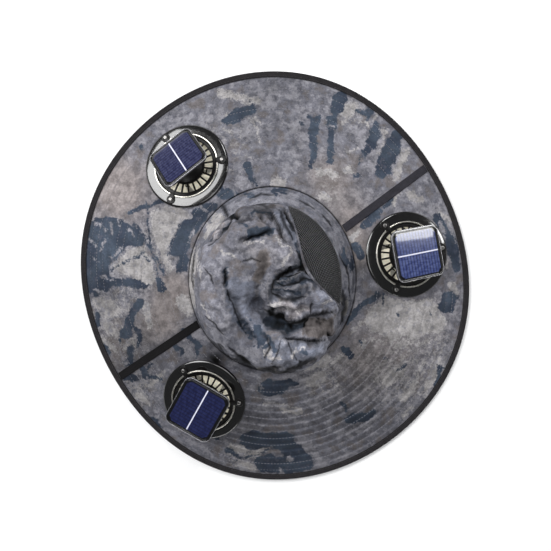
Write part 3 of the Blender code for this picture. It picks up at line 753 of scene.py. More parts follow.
# Thin pale shapes over the dark ones
BRIM_STREAKS = (
    (1.2, 0.8, (98, 224), (106, 232)),
    (1.0, 0.8, (116, 216), (120, 226)),
    (1.4, 0.8, (128, 228), (134, 236)),
    (1.2, 0.8, (106, 240), (100, 250)),
    (1.4, 1.0, (120, 248), (112, 256)),
    (1.0, 0.8, (92, 258), (98, 262)),
    (1.0, 0.8, (90, 240), (94, 246)),
    (1.0, 0.6, (110, 222), (112, 236)),
    (0.9, 0.6, (102, 278), (116, 280)),
    (1.0, 0.7, (94, 290), (108, 294), (118, 300)),
    (1.0, 0.7, (96, 300), (104, 310), (100, 322)),
    (1.0, 0.7, (112, 308), (106, 320), (112, 332)),
    (0.9, 0.7, (128, 342), (134, 352), (140, 346)),
    (0.9, 0.7, (120, 352), (126, 364)),
    (1.0, 0.7, (136, 384), (146, 380), (152, 370)),
    (1.0, 0.8, (156, 366), (166, 376)),
    (1.2, 0.8, (214, 198), (222, 188)),
    (1.0, 0.8, (234, 190), (240, 204)),
    (1.2, 1.0, (200, 206), (206, 214)),
    (1.2, 0.9, (192, 232), (188, 246)),
    (1.0, 0.8, (326, 124), (334, 126)),
    (0.7, 0.5, (370, 130), (366, 146)),
    (1.0, 0.8, (381, 128), (378, 150)),
    (1.0, 0.7, (372, 106), (382, 118)),
    (1.2, 0.8, (398, 156), (388, 176)),
    (1.0, 0.8, (408, 168), (400, 182)),
    (1.4, 0.8, (440, 222), (446, 240)),
    (1.2, 0.8, (450, 226), (456, 244)),
    (1.0, 0.8, (444, 250), (450, 262)),
    (1.4, 1.0, (448, 362), (438, 386)),
    (1.2, 0.8, (438, 362), (428, 380)),
    (1.0, 0.8, (444, 352), (450, 344)),
    (2.2, 2.0, (288, 458), (291, 461)),
    (2.0, 1.6, (280, 469), (283, 471)),
    (1.6, 1.2, (268, 404), (300, 412)),
    (1.0, 0.8, (258, 378), (262, 390)),
    (1.0, 0.8, (236, 464), (250, 460)),
    (1.4, 1.0, (240, 470), (262, 474)),
)
# Painted light and shade on the brim, with the print's own tone: the dull spots darken it towards
# the bottom and lower left, the shade spots are painted shadows beside the fans
BRIM_TONES = (
    # name, middle x, middle y, reach, change of brightness
    ("pale left", 112, 188, 30, 0.40),
    ("pale upper right", 345, 150, 50, 0.08),
    ("pale right", 412, 318, 36, 0.06),
    ("dull below the pale right", 375, 362, 24, -0.18),
    ("far left", 106, 240, 26, 0.12),
    ("pale below crown", 318, 368, 26, 0.20),
    ("dull top", 270, 92, 50, -0.20),
    ("dull lower left", 140, 360, 50, -0.48),
    ("dull by the lower fan", 225, 400, 40, -0.30),
    ("dull bottom", 250, 445, 60, -0.30),
    ("dull lower right", 350, 410, 66, -0.36),
    ("shade left of the right fan", 361, 268, 13, -0.55),
    ("shade below the right fan", 378, 298, 14, -0.60),
    ("shade above the lower fan", 216, 360, 12, -0.80),
    ("dull patch low right", 408, 376, 12, -0.30),
    ("dull patch left", 104, 297, 11, -0.40),
)
BRIM_BROWN = (
    ("plain left", 118, 190, 36, 1.0),
    ("left of crown", 174, 290, 20, 1.0),
    ("above left tape", 160, 322, 24, 0.8),
    ("upper right", 330, 178, 26, 0.8),
    ("right of crown", 352, 225, 26, 0.7),
    ("beside right fan", 356, 252, 14, 1.1),
    ("below left tape", 115, 345, 24, 0.5),
    ("right", 410, 330, 45, 0.4),
    ("lower right", 360, 360, 40, 0.5),
)
BRIM_GRAVEL = (
    ("left mottles", 165, 236, 26, 1.0),
    ("left", 110, 320, 34, 0.9),
    ("far left", 96, 250, 26, 0.8),
    ("lower left", 135, 385, 30, 0.8),
    ("below crown", 322, 375, 24, 1.0),
    ("lower right", 395, 370, 42, 0.9),
    ("upper left", 225, 145, 42, 0.6),
    ("bottom left", 245, 458, 24, 0.9),
    ("above right", 330, 190, 26, 0.5),
    ("upper right", 350, 112, 22, 0.7),
    ("by right fan", 440, 235, 28, 0.8),
    ("right", 440, 350, 30, 0.5),
    ("left middle", 140, 275, 26, 0.5),
)

# Paler lines along the quilting and darker cloth between them: painted highlight and shade,
# strongest round these spots
ROW_HIGHLIGHT = (
    # name, middle x, middle y, reach, change of brightness
    ("lower right", 355, 415, 70, 0.48),
    ("bottom", 262, 425, 55, 0.40),
    ("top", 275, 115, 50, 0.08),
)

# Camouflage and tones of the crown; the tones are painted light and shade, with some print tone
CROWN_DARK = (
    ("area", (243, 231), (252, 225), (262, 226), (276, 228), (272, 234), (259, 235), (250, 242)),
    (2, 1.5, (254, 213), (270, 213)),
    (1.5, 2.2, (236, 222), (246, 226)),
    (2.0, 1.6, (226, 269), (226, 286)),
    (3.5, 3.5, (277, 280), (290, 279)),
    (2.0, 2.5, (292, 284), (312, 280)),
    (2.0, 1.5, (276, 290), (300, 294)),
    (2.2, 1.6, (300, 256), (302, 268)),
    (1.6, 1.4, (296, 244), (301, 256)),
    (5, 6, (268, 320), (284, 324)),
    (6, 3, (286, 324), (302, 327)),
    (6, 8, (254, 330), (264, 342)),
    (6, 3, (262, 344), (272, 346)),
    (2, 1.5, (240, 322), (250, 338)),
    (2.4, 2.0, (223, 210), (237, 216)),
    (1.8, 1.2, (232, 218), (222, 230), (211, 242)),
    (1.4, 1, (300, 352), (314, 349)),
)
CROWN_LIGHT = (
    (1.5, 1.0, (199, 262), (204, 284)),
    (1.0, 1.0, (206, 302), (212, 318)),
    (1.5, 1.0, (222, 252), (236, 258)),
    (1.5, 1.5, (276, 240), (287, 249)),
    (1.0, 1.5, (248, 246), (260, 241)),
    (2, 1, (289, 252), (284, 264)),
    (3, 2, (270, 302), (281, 302)),
    (2.5, 2, (288, 306), (300, 309)),
    (1.5, 1, (320, 302), (331, 297)),
    (2, 1.5, (266, 352), (278, 354)),
    (1.5, 1, (292, 352), (304, 347)),
    (1.5, 1, (256, 366), (276, 371)),
    (2, 1.5, (219, 215), (213, 223)),
)
CROWN_STREAKS = (
    (1.0, 0.8, (276, 279), (286, 282), (296, 276), (306, 270)),
    (1.0, 0.8, (274, 287), (286, 291), (298, 287), (312, 288)),
    (0.9, 0.7, (304, 298), (310, 291), (318, 286)),
    (1.0, 0.8, (262, 348), (268, 340)),
    (1.2, 0.8, (256, 352), (262, 362)),
    (1.1, 1.0, (287, 212), (296, 231)),
    (1.1, 0.8, (275, 217), (284, 235)),
    (1.0, 0.8, (294, 210), (300, 228)),
    (0.9, 0.8, (225, 271), (230, 268), (235, 271)),
    (0.9, 0.8, (268, 276), (268, 288), (272, 298)),
    (1.0, 0.8, (283, 338), (296, 343)),
    (0.9, 0.7, (246, 318), (250, 330)),
    (1.0, 0.8, (270, 310), (280, 313)),
    (0.8, 0.6, (219, 222), (211, 234)),
)
CROWN_AREAS = (
    # name, change of brightness (painted light and shade, with some print tone), brownness, softness
    # of the edge, corners
    ("left dome", 0.22, 0.2, 14, (193, 244), (214, 238), (226, 262), (224, 300), (236, 338),
     (206, 322)),
    ("upper left dome", 0.10, 0.3, 10, (216, 238), (240, 226), (246, 242), (256, 262), (236, 270)),
    ("below the blue fold", -0.24, 0.0, 8, (238, 240), (254, 240), (256, 254), (244, 258)),
    ("cream dome", 0.16, 0.5, 8, (244, 244), (262, 236), (282, 234), (293, 250), (287, 266),
     (274, 271),
     (264, 262), (250, 256)),
    ("cream rim", 0.55, 1.2, 6, (206, 232), (214, 212), (222, 212), (224, 220), (212, 236)),
    ("brown streak", -0.54, 1.4, 7, (258, 252), (266, 250), (270, 262), (262, 278), (258, 304),
     (252, 300),
     (253, 276)),
    ("valley", 0.06, -1.2, 3, (226, 282), (250, 280), (261, 288), (263, 304), (256, 315),
     (262, 328),
     (252, 334), (241, 330), (231, 314), (226, 296)),
    ("valley's deep side", 0.14, -0.5, 7, (238, 296), (252, 292), (260, 306), (254, 322),
     (242, 318)),
    ("hollow", -0.66, -1.0, 4, (258, 309), (272, 313), (294, 318), (309, 318), (304, 330),
     (290, 334),
     (274, 332), (263, 325)),
    ("under the lip", -0.25, 0.0, 5, (262, 306), (276, 312), (300, 317), (312, 316), (300, 322),
     (270, 318)),
    ("olive bulge", -0.66, 1.6, 4, (306, 320), (334, 315), (336, 339), (322, 338), (300, 333)),
    ("upper bulge", 0.86, 0.8, 4, (269, 299), (287, 296), (306, 303), (312, 311), (299, 315),
     (275, 311),
     (267, 304)),
    ("right bulge", 0.62, -0.4, 5, (312, 290), (337, 288), (339, 309), (314, 312), (309, 302)),
    ("slate folds", -0.46, -1.4, 4, (272, 274), (288, 270), (303, 265), (322, 283), (311, 288),
     (306, 297),
     (284, 299), (270, 292)),
    ("hollow beside the folds", -0.26, 0.0, 4, (270, 272), (276, 274), (275, 296), (268, 300),
     (266, 286)),
    ("shade by the window", -0.50, -0.2, 3, (294, 236), (300, 240), (303, 262), (310, 276),
     (300, 272),
     (294, 262), (299, 252)),
    ("gathers", -0.06, -1.0, 5, (274, 211), (291, 208), (301, 236), (296, 250), (286, 232)),
    ("shade by the pinch", -0.50, 0.3, 5, (225, 209), (250, 206), (253, 219), (240, 224),
     (230, 220)),
    ("purple fold", -0.62, 0.3, 5, (250, 207), (262, 203), (276, 207), (272, 217), (256, 218)),
    ("dark blue fold", -0.22, -0.8, 4, (244, 233), (256, 225), (276, 229), (270, 236), (256, 236),
     (249, 242)),
    ("lower roll", 0.26, -0.5, 7, (262, 342), (284, 338), (314, 344), (332, 344), (318, 356),
     (290, 364),
     (264, 364)),
    ("end of the lower roll", 0.40, -0.2, 5, (300, 343), (322, 341), (324, 350), (308, 356)),
    ("lower left", -0.14, -0.1, 10, (206, 318), (236, 338), (250, 352), (248, 364), (222, 350)),
    ("lower edge", -0.80, 0.0, 4, (214, 342), (232, 356), (254, 364), (280, 367), (304, 359),
     (314, 352), (314, 360), (298, 370), (276, 376), (250, 374), (226, 364), (211, 349)),
)
CROWN_GRAVEL = (
    ("left dome", 210, 290, 34, 0.35),
    ("upper left", 230, 235, 24, 0.25),
    ("bottom", 275, 358, 24, 0.6),
    ("upper bulge", 288, 305, 14, 0.6),
    ("top", 268, 212, 12, 0.4),
)
# Sharp creases, cut in and darkened with painted shade: half width, and the course
CROWN_LINES = (
    (2.2, (220, 206), (229, 215), (240, 217)),
    (1.8, (234, 216), (230, 221), (221, 231), (208, 245)),
    (1.0, (244, 242), (252, 236), (268, 231)),
    (1.6, (278, 210), (284, 224), (292, 240)),
    (1.2, (284, 208), (290, 220), (298, 238)),
    (1.0, (272, 212), (280, 226), (284, 238)),
    (1.4, (291, 206), (297, 220), (301, 236), (303, 252)),
    (1.5, (296, 250), (301, 258), (303, 268), (297, 272)),
    (1.1, (303, 266), (292, 271), (280, 274), (273, 280), (272, 292)),
    (1.0, (277, 282), (284, 286), (294, 284), (304, 278), (314, 281)),
    (0.9, (284, 276), (294, 277), (302, 271)),
    (1.3, (273, 293), (282, 298), (294, 299), (306, 296)),
    (1.6, (225, 268), (226, 278), (224, 287)),
    (1.0, (228, 288), (233, 302), (241, 318), (246, 334)),
    (1.4, (262, 308), (270, 313), (284, 316), (300, 318)),
    (1.4, (298, 318), (310, 316), (322, 314), (334, 312)),
    (0.9, (312, 300), (310, 308), (312, 316)),
    (1.0, (283, 337), (300, 340), (326, 341)),
    (1.2, (326, 333), (334, 341)),
    (0.8, (264, 336), (270, 348), (264, 360)),
    (0.6, (281, 340), (276, 352), (272, 364)),
    (0.6, (288, 342), (294, 354), (300, 362)),
    (0.7, (206, 268), (212, 274), (214, 284)),
    (0.7, (201, 240), (208, 234), (214, 226)),
    (0.7, (240, 262), (252, 258), (262, 262)),
    (0.8, (318, 291), (326, 287), (335, 290)),
    (0.7, (206, 316), (214, 322), (224, 336)),
    (0.9, (336, 300), (340, 308), (338, 318)),
    (1.0, (228, 346), (238, 356), (250, 364)),
)

# Fine folds of the crown. Depth is in millimetres, a ridge's is negative. The half widths
# are on the left and the right of the course, in pixels
FINE_FOLDS = (
    # name, depth, left, right, course
    ("cross crease", 3.6, 2.5, 9, (266, 309), (276, 312), (299, 317), (318, 315), (334, 312)),
    ("hollow", 3.0, 8, 8, (270, 322), (298, 325)),
    ("lower crease", 3.0, 2, 5, (283, 337), (300, 340), (325, 342)),
    ("notch", 2.6, 2, 2, (328, 335), (334, 341)),
    ("upper bulge", -3.0, 7, 7, (268, 303), (284, 300), (300, 304)),
    ("right bulge", -2.6, 9, 9, (310, 301), (333, 296)),
    ("middle bulge", -2.0, 6, 6, (306, 330), (332, 327)),
    ("lower bulge", -2.6, 8, 8, (262, 354), (292, 353), (316, 346)),
    ("fan ridge left", -1.6, 3, 3, (280, 339), (270, 364)),
    ("fan ridge middle", -1.4, 3, 3, (281, 339), (283, 366)),
    ("fan ridge right", -1.4, 3, 3, (283, 339), (296, 363)),
    ("dart", 2.6, 1.5, 4, (274, 277), (284, 273), (292, 268)),
    ("dart below", 1.4, 2, 4, (275, 293), (284, 297), (300, 298)),
    ("patch ridge one", -1.6, 3, 3, (277, 278), (288, 281), (306, 270)),
    ("patch ridge two", -1.6, 3, 3, (276, 288), (288, 290), (300, 285), (314, 287)),
    ("gather one", 2.0, 1.6, 3, (283, 209), (291, 222), (300, 240)),
    ("gather two", -2.0, 3, 3, (277, 211), (285, 224), (293, 241)),
    ("gather three", 1.6, 2, 2, (270, 214), (280, 230), (288, 246)),
    ("gather four", -1.4, 2, 2, (292, 208), (300, 224), (305, 238)),
    ("top crease", 2.2, 2, 6, (238, 241), (250, 237), (274, 229)),
    ("top crease tail", 2.0, 2, 3, (258, 216), (266, 222), (274, 229)),
    ("pinch", 2.8, 2, 3, (222, 206), (229, 217), (219, 228), (205, 245)),
    ("pinch beside", 2.0, 2, 2, (232, 212), (238, 218)),
    ("long edge", 3.0, 2.5, 12, (225, 268), (228, 290), (237, 301), (245, 325), (256, 346)),
    ("middle valley", 1.4, 5, 8, (265, 250), (262, 290), (258, 316)),
    ("left dome", -2.0, 10, 10, (211, 262), (212, 300), (226, 332)),
    ("cream dome", -2.2, 10, 10, (281, 246), (285, 270)),
    ("lower valley crease", 1.8, 2, 4, (262, 330), (270, 344), (266, 362)),
    ("left wrinkle", 1.2, 3, 3, (204, 268), (214, 276), (222, 290)),
    ("left wrinkle low", 1.2, 3, 3, (208, 306), (220, 312), (230, 326)),
    ("upper wrinkle", 1.2, 3, 3, (214, 240), (232, 250), (250, 252)),
    ("right edge crease", 1.6, 2, 3, (318, 290), (326, 288), (335, 291)),
)


def fold_depth(x, y):
    """Depth of the fine folds in metres, and how much painted shade darkens their creases, from 0 to
    1.
    """
    depth = np.zeros(np.shape(x))
    creased = np.zeros(np.shape(x))
    for _, amount, left, right, *points in FINE_FOLDS:
        away, side, along = near_course(x, y, points)
        width = np.where(side > 0, right, left)
        fade = smooth(np.minimum(along, 1 - along) / 0.22 + 0.25)
        if amount > 0:
            shape = np.exp(-away / width) * 0.6 + bell(away / width) * 0.4
            creased += amount / 9 * fade * bell(away / (0.35 * width + 0.8))
        else:
            shape = bell(away / width)
        depth += MILLIMETRE * amount * fade * shape
    return depth, np.clip(creased, 0, 1)


def evened(values, times):
    """A closed sheet's values, smoothed over their neighbours."""
    for _ in range(times):
        around = np.roll(values, 1, axis=1) + np.roll(values, -1, axis=1)
        padded = np.pad(values, ((1, 1), (0, 0)), mode="edge")
        values = (2 * values + around + padded[:-2] + padded[2:]) / 6
    return values


def drawn_lines(points, lines, start):
    """Crease lines on the cloth: painted shade from 0 to 1, over that already there, and their depth
    in metres.
    """
    drawn = start
    cut = np.zeros(np.shape(start))
    x, y = wandering(points, *seen(points), 0.5)
    for half, *course in lines:
        away, _, along = near_course(x, y, course)
        taper = 0.35 + 0.65 * smooth(np.minimum(along, 1 - along) / 0.25)
        drawn = np.maximum(drawn, smooth(1.15 - 0.6 * away / (half * taper)))
        cut = np.maximum(cut, LINE_DEPTH * half * taper * bell(away / (half + 0.9)))
    return drawn, cut


# Meshes

def add_object(name, mesh, matrix=None):
    piece = bpy.data.objects.new(name, mesh)
    bpy.context.scene.collection.objects.link(piece)
    if matrix is not None:
        piece.matrix_world = matrix
    return piece


def grid_mesh(name, points, closed_across=False, closed_along=False, pole=None, skip=None):
    """A sheet from rows of points: columns anticlockwise, rows upwards, faces outwards."""
    rows, columns = points.shape[:2]
    index = np.arange(rows * columns).reshape(rows, columns)
    lower = index if closed_along else index[:-1]
    upper = np.roll(index, -1, axis=0) if closed_along else index[1:]
    if closed_across:
        near, far = slice(None), np.roll(np.arange(columns), -1)
    else:
        near, far = slice(0, columns - 1), np.arange(1, columns)
    quads = np.stack((lower[:, near], lower[:, far], upper[:, far], upper[:, near]), axis=-1)
    quads = quads.reshape(-1, 4)
    if skip is not None:
        quads = quads[~skip.reshape(-1)[quads].any(axis=1)]
    verts = points.reshape(-1, 3)
    faces = quads.tolist()
    if pole is not None:
        verts = np.vstack((verts, pole))
        tip = len(verts) - 1
        faces += [(a, b, tip) for a, b in zip(index[-1], np.roll(index[-1], -1))]
    mesh = bpy.data.meshes.new(name)
    mesh.from_pydata(verts.tolist(), [], [tuple(int(i) for i in face) for face in faces])
    mesh.shade_smooth()
    return mesh


def drop_loose(mesh):
    shape = bmesh.new()
    shape.from_mesh(mesh)
    loose = [vert for vert in shape.verts if not vert.link_faces]
    bmesh.ops.delete(shape, geom=loose, context="VERTS")
    shape.to_mesh(mesh)
    shape.free()


def set_values(mesh, **fields):
    """Numbers for each vertex, or one for all, which a material reads by their names."""
    for name, values in fields.items():
        layer = mesh.attributes.new(name, "FLOAT", "POINT")
        spread = np.broadcast_to(np.ravel(values), len(mesh.vertices))
        layer.data.foreach_set("value", np.ascontiguousarray(spread, np.float32))


def add_thickness(piece, thickness, inner_slot=0):
    cloth = piece.modifiers.new("cloth", "SOLIDIFY")
    cloth.thickness = thickness
    cloth.material_offset = inner_slot


def closed(mesh, matrix=None):
    """A mesh with its open ends filled and its faces turned outwards, moved by a matrix."""
    shape = bmesh.new()
    shape.from_mesh(mesh)
    bmesh.ops.holes_fill(shape, edges=[e for e in shape.edges if e.is_boundary], sides=0)
    bmesh.ops.recalc_face_normals(shape, faces=shape.faces)
    if matrix:
        bmesh.ops.transform(shape, matrix=matrix, verts=shape.verts)
    shape.to_mesh(mesh)
    shape.free()
    return mesh


def dress(piece, materials, body, slot, *nodes):
    """Give a piece its materials and its body, and hide the nodes it stands for. The finish slot is
    not used.
    """
    for material in materials:
        piece.data.materials.append(material)
    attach(piece, body)
    if nodes:
        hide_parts(*nodes)
    return piece


def rounded(points, radius, steps=3, looped=True):
    """A profile with its corners rounded off."""
    result = []
    count = len(points)
    for i, point in enumerate(points):
        here = Vector(point)
        if not looped and i in (0, count - 1):
            result.append(tuple(here))
            continue
        before = Vector(points[i - 1]) - here
        after = Vector(points[(i + 1) % count]) - here
        reach = min(radius, before.length * 0.45, after.length * 0.45)
        start, end = here + before.normalized() * reach, here + after.normalized() * reach
        for step in range(steps + 1):
            t = step / steps
            result.append(tuple(start * (1 - t) ** 2 + here * 2 * t * (1 - t) + end * t * t))
    return result


def turned_mesh(name, profile, segments, looped=True):
    """A profile of (radius, height), running anticlockwise, turned round Z."""
    turns = full_turn(segments)
    rows = [polar(radius, turns, height + 0 * turns) for radius, height in profile]
    return grid_mesh(name, np.array(rows), closed_across=True, closed_along=looped)


def join_meshes(name, meshes):
    shape = bmesh.new()
    for mesh in meshes:
        shape.from_mesh(mesh)
        bpy.data.meshes.remove(mesh)
    joined = bpy.data.meshes.new(name)
    shape.to_mesh(joined)
    shape.free()
    joined.shade_smooth()
    joined.set_sharp_from_angle(angle=SHARP_ANGLE)
    return joined


def soft_box(name, lows, highs, bevel, matrix=None):
    """A box with rounded edges."""
    shape = bmesh.new()
    bmesh.ops.create_cube(shape, size=1.0)
    middle = (Vector(lows) + Vector(highs)) / 2
    size = Vector(highs) - Vector(lows)
    for vert in shape.verts:
        vert.co = Vector((vert.co.x * size.x, vert.co.y * size.y, vert.co.z * size.z)) + middle
    bmesh.ops.bevel(shape, geom=shape.edges[:], offset=bevel, segments=2, profile=0.5,
                    affect="EDGES")
    if matrix:
        bmesh.ops.transform(shape, matrix=matrix, verts=shape.verts)
    mesh = bpy.data.meshes.new(name)
    shape.to_mesh(mesh)
    shape.free()
    return mesh


def soft_cylinder(name, radius, low, high, bevel, segments=24, matrix=None):
    profile = rounded([(PINHOLE, high), (radius, high), (radius, low), (PINHOLE, low)], bevel,
                      looped=False)
    return closed(turned_mesh(name, profile[::-1], segments, looped=False), matrix)


def ring_mesh(name, inner, outer, low, high, bevel, segments):
    profile = rounded(((inner, low), (outer, low), (outer, high), (inner, high)), bevel)
    return turned_mesh(name, profile, segments)


def spokes(name, count, spread, lows, highs):
    """Equal soft bars, turned round Z over a spread."""
    return [soft_box(name, lows, highs, BAR_BEVEL, Matrix.Rotation(spread * number / count, 4, "Z"))
            for number in range(count)]


# Materials

def paint(red, green, blue):
    """A colour as a screen shows it, 0 to 255, in linear light."""
    return (*(((part / 255 + 0.055) / 1.055) ** 2.4 for part in (red, green, blue)), 1.0)


class Finish:
    """A Principled material whose colour, roughness and relief come from nodes."""

    def __init__(self, name, roughness, metallic=0.0, **fixed):
        self.material = bpy.data.materials.new(name)
        self.material.use_nodes = True
        self.nodes = self.material.node_tree.nodes
        self.links = self.material.node_tree.links
        self.shader = self.nodes["Principled BSDF"]
        self.shader.inputs["Roughness"].default_value = roughness
        self.shader.inputs["Metallic"].default_value = metallic
        for socket, value in fixed.items():
            self.shader.inputs[socket.replace("_", " ")].default_value = value
        self.place = self.nodes.new("ShaderNodeTexCoord").outputs["Object"]

    def put(self, socket, value):
        if isinstance(value, bpy.types.NodeSocket):
            self.links.new(value, socket)
        else:
            socket.default_value = value

    def make(self, kind, output, settings=None, **inputs):
        """One output of a new node, whose inputs are values or other nodes' outputs."""
        node = self.nodes.new("ShaderNode" + kind)
        for name, value in (settings or {}).items():
            setattr(node, name, value)
        for name, value in inputs.items():
            self.put(node.inputs[name], value)
        return node.outputs[output]

    def shade(self, **values):
        for socket, value in values.items():
            self.put(self.shader.inputs[socket.replace("_", " ")], value)
        return self.material

    def math(self, operation, *values):
        node = self.nodes.new("ShaderNodeMath")
        node.operation = operation
        for socket, value in zip(node.inputs, values):
            self.put(socket, value)
        return node.outputs[0]

    def stretched(self, scale, turn=0.0):
        return self.make("Mapping", "Vector", Scale=scale, Rotation=(0, 0, turn),
                         Vector=self.place)

    def noise(self, size, detail=2.0, roughness=0.5, place=None):
        return self.make("TexNoise", "Fac", Scale=1 / size, Detail=detail, Roughness=roughness,
                         Vector=place or self.place)

    def cell_edges(self, size):
        return self.make("TexVoronoi", "Distance", {"feature": "DISTANCE_TO_EDGE"},
                         Scale=1 / size, Vector=self.place)

    def axis(self, index):
        return self.make("SeparateXYZ", index, Vector=self.place)

    def value(self, name):
        return self.make("Attribute", "Fac", {"attribute_name": name})

    def step(self, value, low, high, start=0.0, end=1.0):
        node = self.nodes.new("ShaderNodeMapRange")
        node.interpolation_type = "SMOOTHSTEP"
        for socket, number in zip(node.inputs, (value, low, high, start, end)):
            self.put(socket, number)
        return node.outputs[0]

    def blend(self, share, first, second):
        node = self.nodes.new("ShaderNodeMix")
        node.data_type = "RGBA"
        share_input, first_input, second_input = (node.inputs[i] for i in (0, 6, 7))
        self.put(share_input, share)
        self.put(first_input, first)
        self.put(second_input, second)
        return node.outputs[2]

    def tint(self, below, colour, value, low, high, start=0.0, end=1.0):
        """Lay a colour over another where a value rises from low to high."""
        return self.blend(self.step(value, low, high, start, end), below, colour)

    def scaled(self, colour, factor):
        vector = colour[:3] if isinstance(colour, tuple) else colour
        return self.make("VectorMath", 0, {"operation": "SCALE"}, Vector=vector, Scale=factor)

    def relief(self, height, distance, strength=1.0, below=None):
        under = {} if below is None else {"Normal": below}
        return self.make("Bump", "Normal", Height=height, Distance=distance, Strength=strength,
                         **under)

    def weave(self, pitch):
        """Crossing threads: 0 between them and 1 on top."""
        waves = [self.math("SINE", self.math("MULTIPLY", self.axis(i), 2 * pi / pitch))
                 for i in (0, 1)]
        return self.math("ABSOLUTE", self.math("MULTIPLY", *waves))


CLOTH = {
    "mid": paint(105, 105, 113),
    "pale": paint(126, 125, 131),
    "dull": paint(79, 79, 88),
    "brown": paint(124, 116, 113),
    "cream": paint(150, 147, 147),
    "warm": paint(118, 111, 109),
    "slate": paint(65, 74, 87),
    "night": paint(49, 56, 69),
    "cool": paint(93, 98, 111),
}


def camouflage(name, brightness=1.0, speckle=1.0):
    """Printed cloth: soft mottles, pale and slate shapes with ragged edges, and a weave."""
    look = Finish(name, 0.85, Specular_IOR_Level=0.15)
    broad = look.noise(0.020, detail=4, roughness=0.6)
    mottle = look.noise(0.0065, detail=3, roughness=0.65)
    fine = look.noise(0.0022, detail=2, roughness=0.6)
    specks = look.noise(0.0020, detail=1, roughness=0.5)
    base = CLOTH["mid"]
    for colour, value, *levels in (
            # colour, noise, low, high, share at low, share at high
            ("pale", broad, 0.50, 0.58, 0.0, 0.8),
            ("dull", mottle, 0.55, 0.62, 0.0, 0.6),
            ("pale", mottle, 0.37, 0.43, 0.5, 0.0),
            ("warm", broad, 0.34, 0.46, 0.6, 0.0),
            ("cream", specks, 0.66, 0.74, 0.0, 0.25 * speckle),
            ("dull", specks, 0.26, 0.32, 0.5, 0.0),
            ("brown", look.math("MULTIPLY_ADD", broad, 0.6, look.value("brown")),
             0.3, 1.2, 0.0, 0.75),
            ("cool", look.math("MULTIPLY", look.value("brown"), -1.0), 0.1, 1.2, 0.0, 0.65)):
        base = look.tint(base, CLOTH[colour], value, *levels)
    gravel = look.step(look.math("MULTIPLY_ADD", mottle, 1.2, look.value("gravel")), 0.9, 1.5)
    edges = look.math("MULTIPLY_ADD", mottle, 0.5, look.cell_edges(0.0075))
    outline = look.math("MULTIPLY", look.step(edges, 0.22, 0.36, start=0.6, end=0.0), gravel)
    base = look.blend(outline, base, CLOTH["cream"])
    chips = look.step(look.noise(0.0042, detail=2, roughness=0.6), 0.57, 0.63, end=0.7)
    base = look.blend(look.math("MULTIPLY", chips, gravel), base, CLOTH["cream"])
    ragged = look.math("MULTIPLY", look.math("SUBTRACT", mottle, 0.5), 13.0 * speckle)
    ragged = look.math("MULTIPLY_ADD", look.math("SUBTRACT", fine, 0.5), 9.0 * speckle, ragged)
    light = look.step(look.math("MULTIPLY_ADD", ragged, 0.75, look.value("light")), -1.0, 1.2)
    cream = look.tint(CLOTH["cream"], CLOTH["pale"], mottle, 0.54, 0.64, end=0.7)
    colour = look.blend(light, base, cream)
    tighter = look.math("MULTIPLY", ragged, 0.34)
    dark = look.step(look.math("SUBTRACT", look.value("dark"), tighter), -0.8, 0.9)
    slate = look.tint(CLOTH["slate"], CLOTH["night"], broad, 0.42, 0.6)
    slate = look.tint(slate, CLOTH["dull"], mottle, 0.56, 0.66, end=0.45)
    colour = look.blend(dark, colour, slate)
    grain = look.step(fine, 0.25, 0.75, start=0.84, end=1.16)
    clouds = look.step(look.noise(0.010, detail=4, roughness=0.65), 0.30, 0.70, 0.70, 1.30)
    grain = look.math("MULTIPLY", grain, clouds)
    streak = look.math("MULTIPLY_ADD", ragged, 0.5, look.value("streak"))
    colour = look.tint(colour, CLOTH["pale"], streak, -1.0, 1.0)
    shade = look.math("MULTIPLY", grain, look.math("ADD", look.value("tone"), brightness))
    # Painted shade in creases, quilting grooves and joints, from the crease value
    crease_shade = look.math("MULTIPLY_ADD", look.value("crease"), -0.86, 1.0)
    colour = look.scaled(colour, look.math("MULTIPLY", shade, crease_shade))
    threads = look.relief(look.weave(0.0009), 0.00006, 0.6)
    creases = look.relief(look.noise(0.004, detail=3), 0.0003, 0.35, below=threads)
    return look.shade(Base_Color=colour, Normal=creases,
                      Roughness=look.step(fine, 0.2, 0.8, start=0.78, end=0.95))


def plain_cloth(name, colour, pitch=0.0009):
    look = Finish(name, 0.9, Sheen_Weight=0.1)
    grain = look.noise(0.003, detail=4, roughness=0.65)
    shade = look.step(grain, 0.3, 0.7, start=0.8, end=1.2)
    weave = look.weave(pitch)
    tint = look.scaled(colour, look.math("MULTIPLY", shade, look.step(weave, 0, 1, 0.85, 1.1)))
    return look.shade(Base_Color=tint, Normal=look.relief(weave, 0.00008, 0.7))


def webbing(name, colour):
    """Ribbed tape: fine slanting threads and a dusty wear."""
    look = Finish(name, 0.8, Specular_IOR_Level=0.15)
    slant = look.math("ADD", look.axis(0), look.axis(1))
    threads = look.math("SINE", look.math("MULTIPLY", slant, 2 * pi / 0.0011))
    dust = look.noise(0.006, detail=4, roughness=0.7)
    shade = look.math("MULTIPLY", look.step(threads, -1, 1, 0.75, 1.25),
                      look.step(dust, 0.3, 0.7, 0.8, 1.3))
    return look.shade(Base_Color=look.scaled(colour, shade), Normal=look.relief(threads, 0.0001),
                      Roughness=look.step(dust, 0.3, 0.7, 0.65, 0.85))


def moulded(name, colour, roughness, wear=0.1, painted_glow=0.0, **fixed):
    """Moulded plastic with faint flow marks, dust and scratches, and a painted glow where one is
    given.
    """
    look = Finish(name, roughness, **fixed)
    dust = look.noise(0.004, detail=5, roughness=0.7)
    scratches = look.noise(0.0008, detail=2, place=look.stretched((1.0, 9.0, 1.0), 0.6))
    marks = look.math("MULTIPLY", look.step(scratches, 0.62, 0.7), wear)
    rough = look.math("ADD", look.step(dust, 0.35, 0.7, roughness, roughness + wear), marks)
    tint = look.scaled(colour, look.step(dust, 0.3, 0.7, 0.85, 1.2))
    return look.shade(Base_Color=tint, Roughness=rough,
                      Emission_Color=tint, Emission_Strength=painted_glow,
                      Normal=look.relief(look.noise(0.0012, detail=3), 0.00005, 0.5))


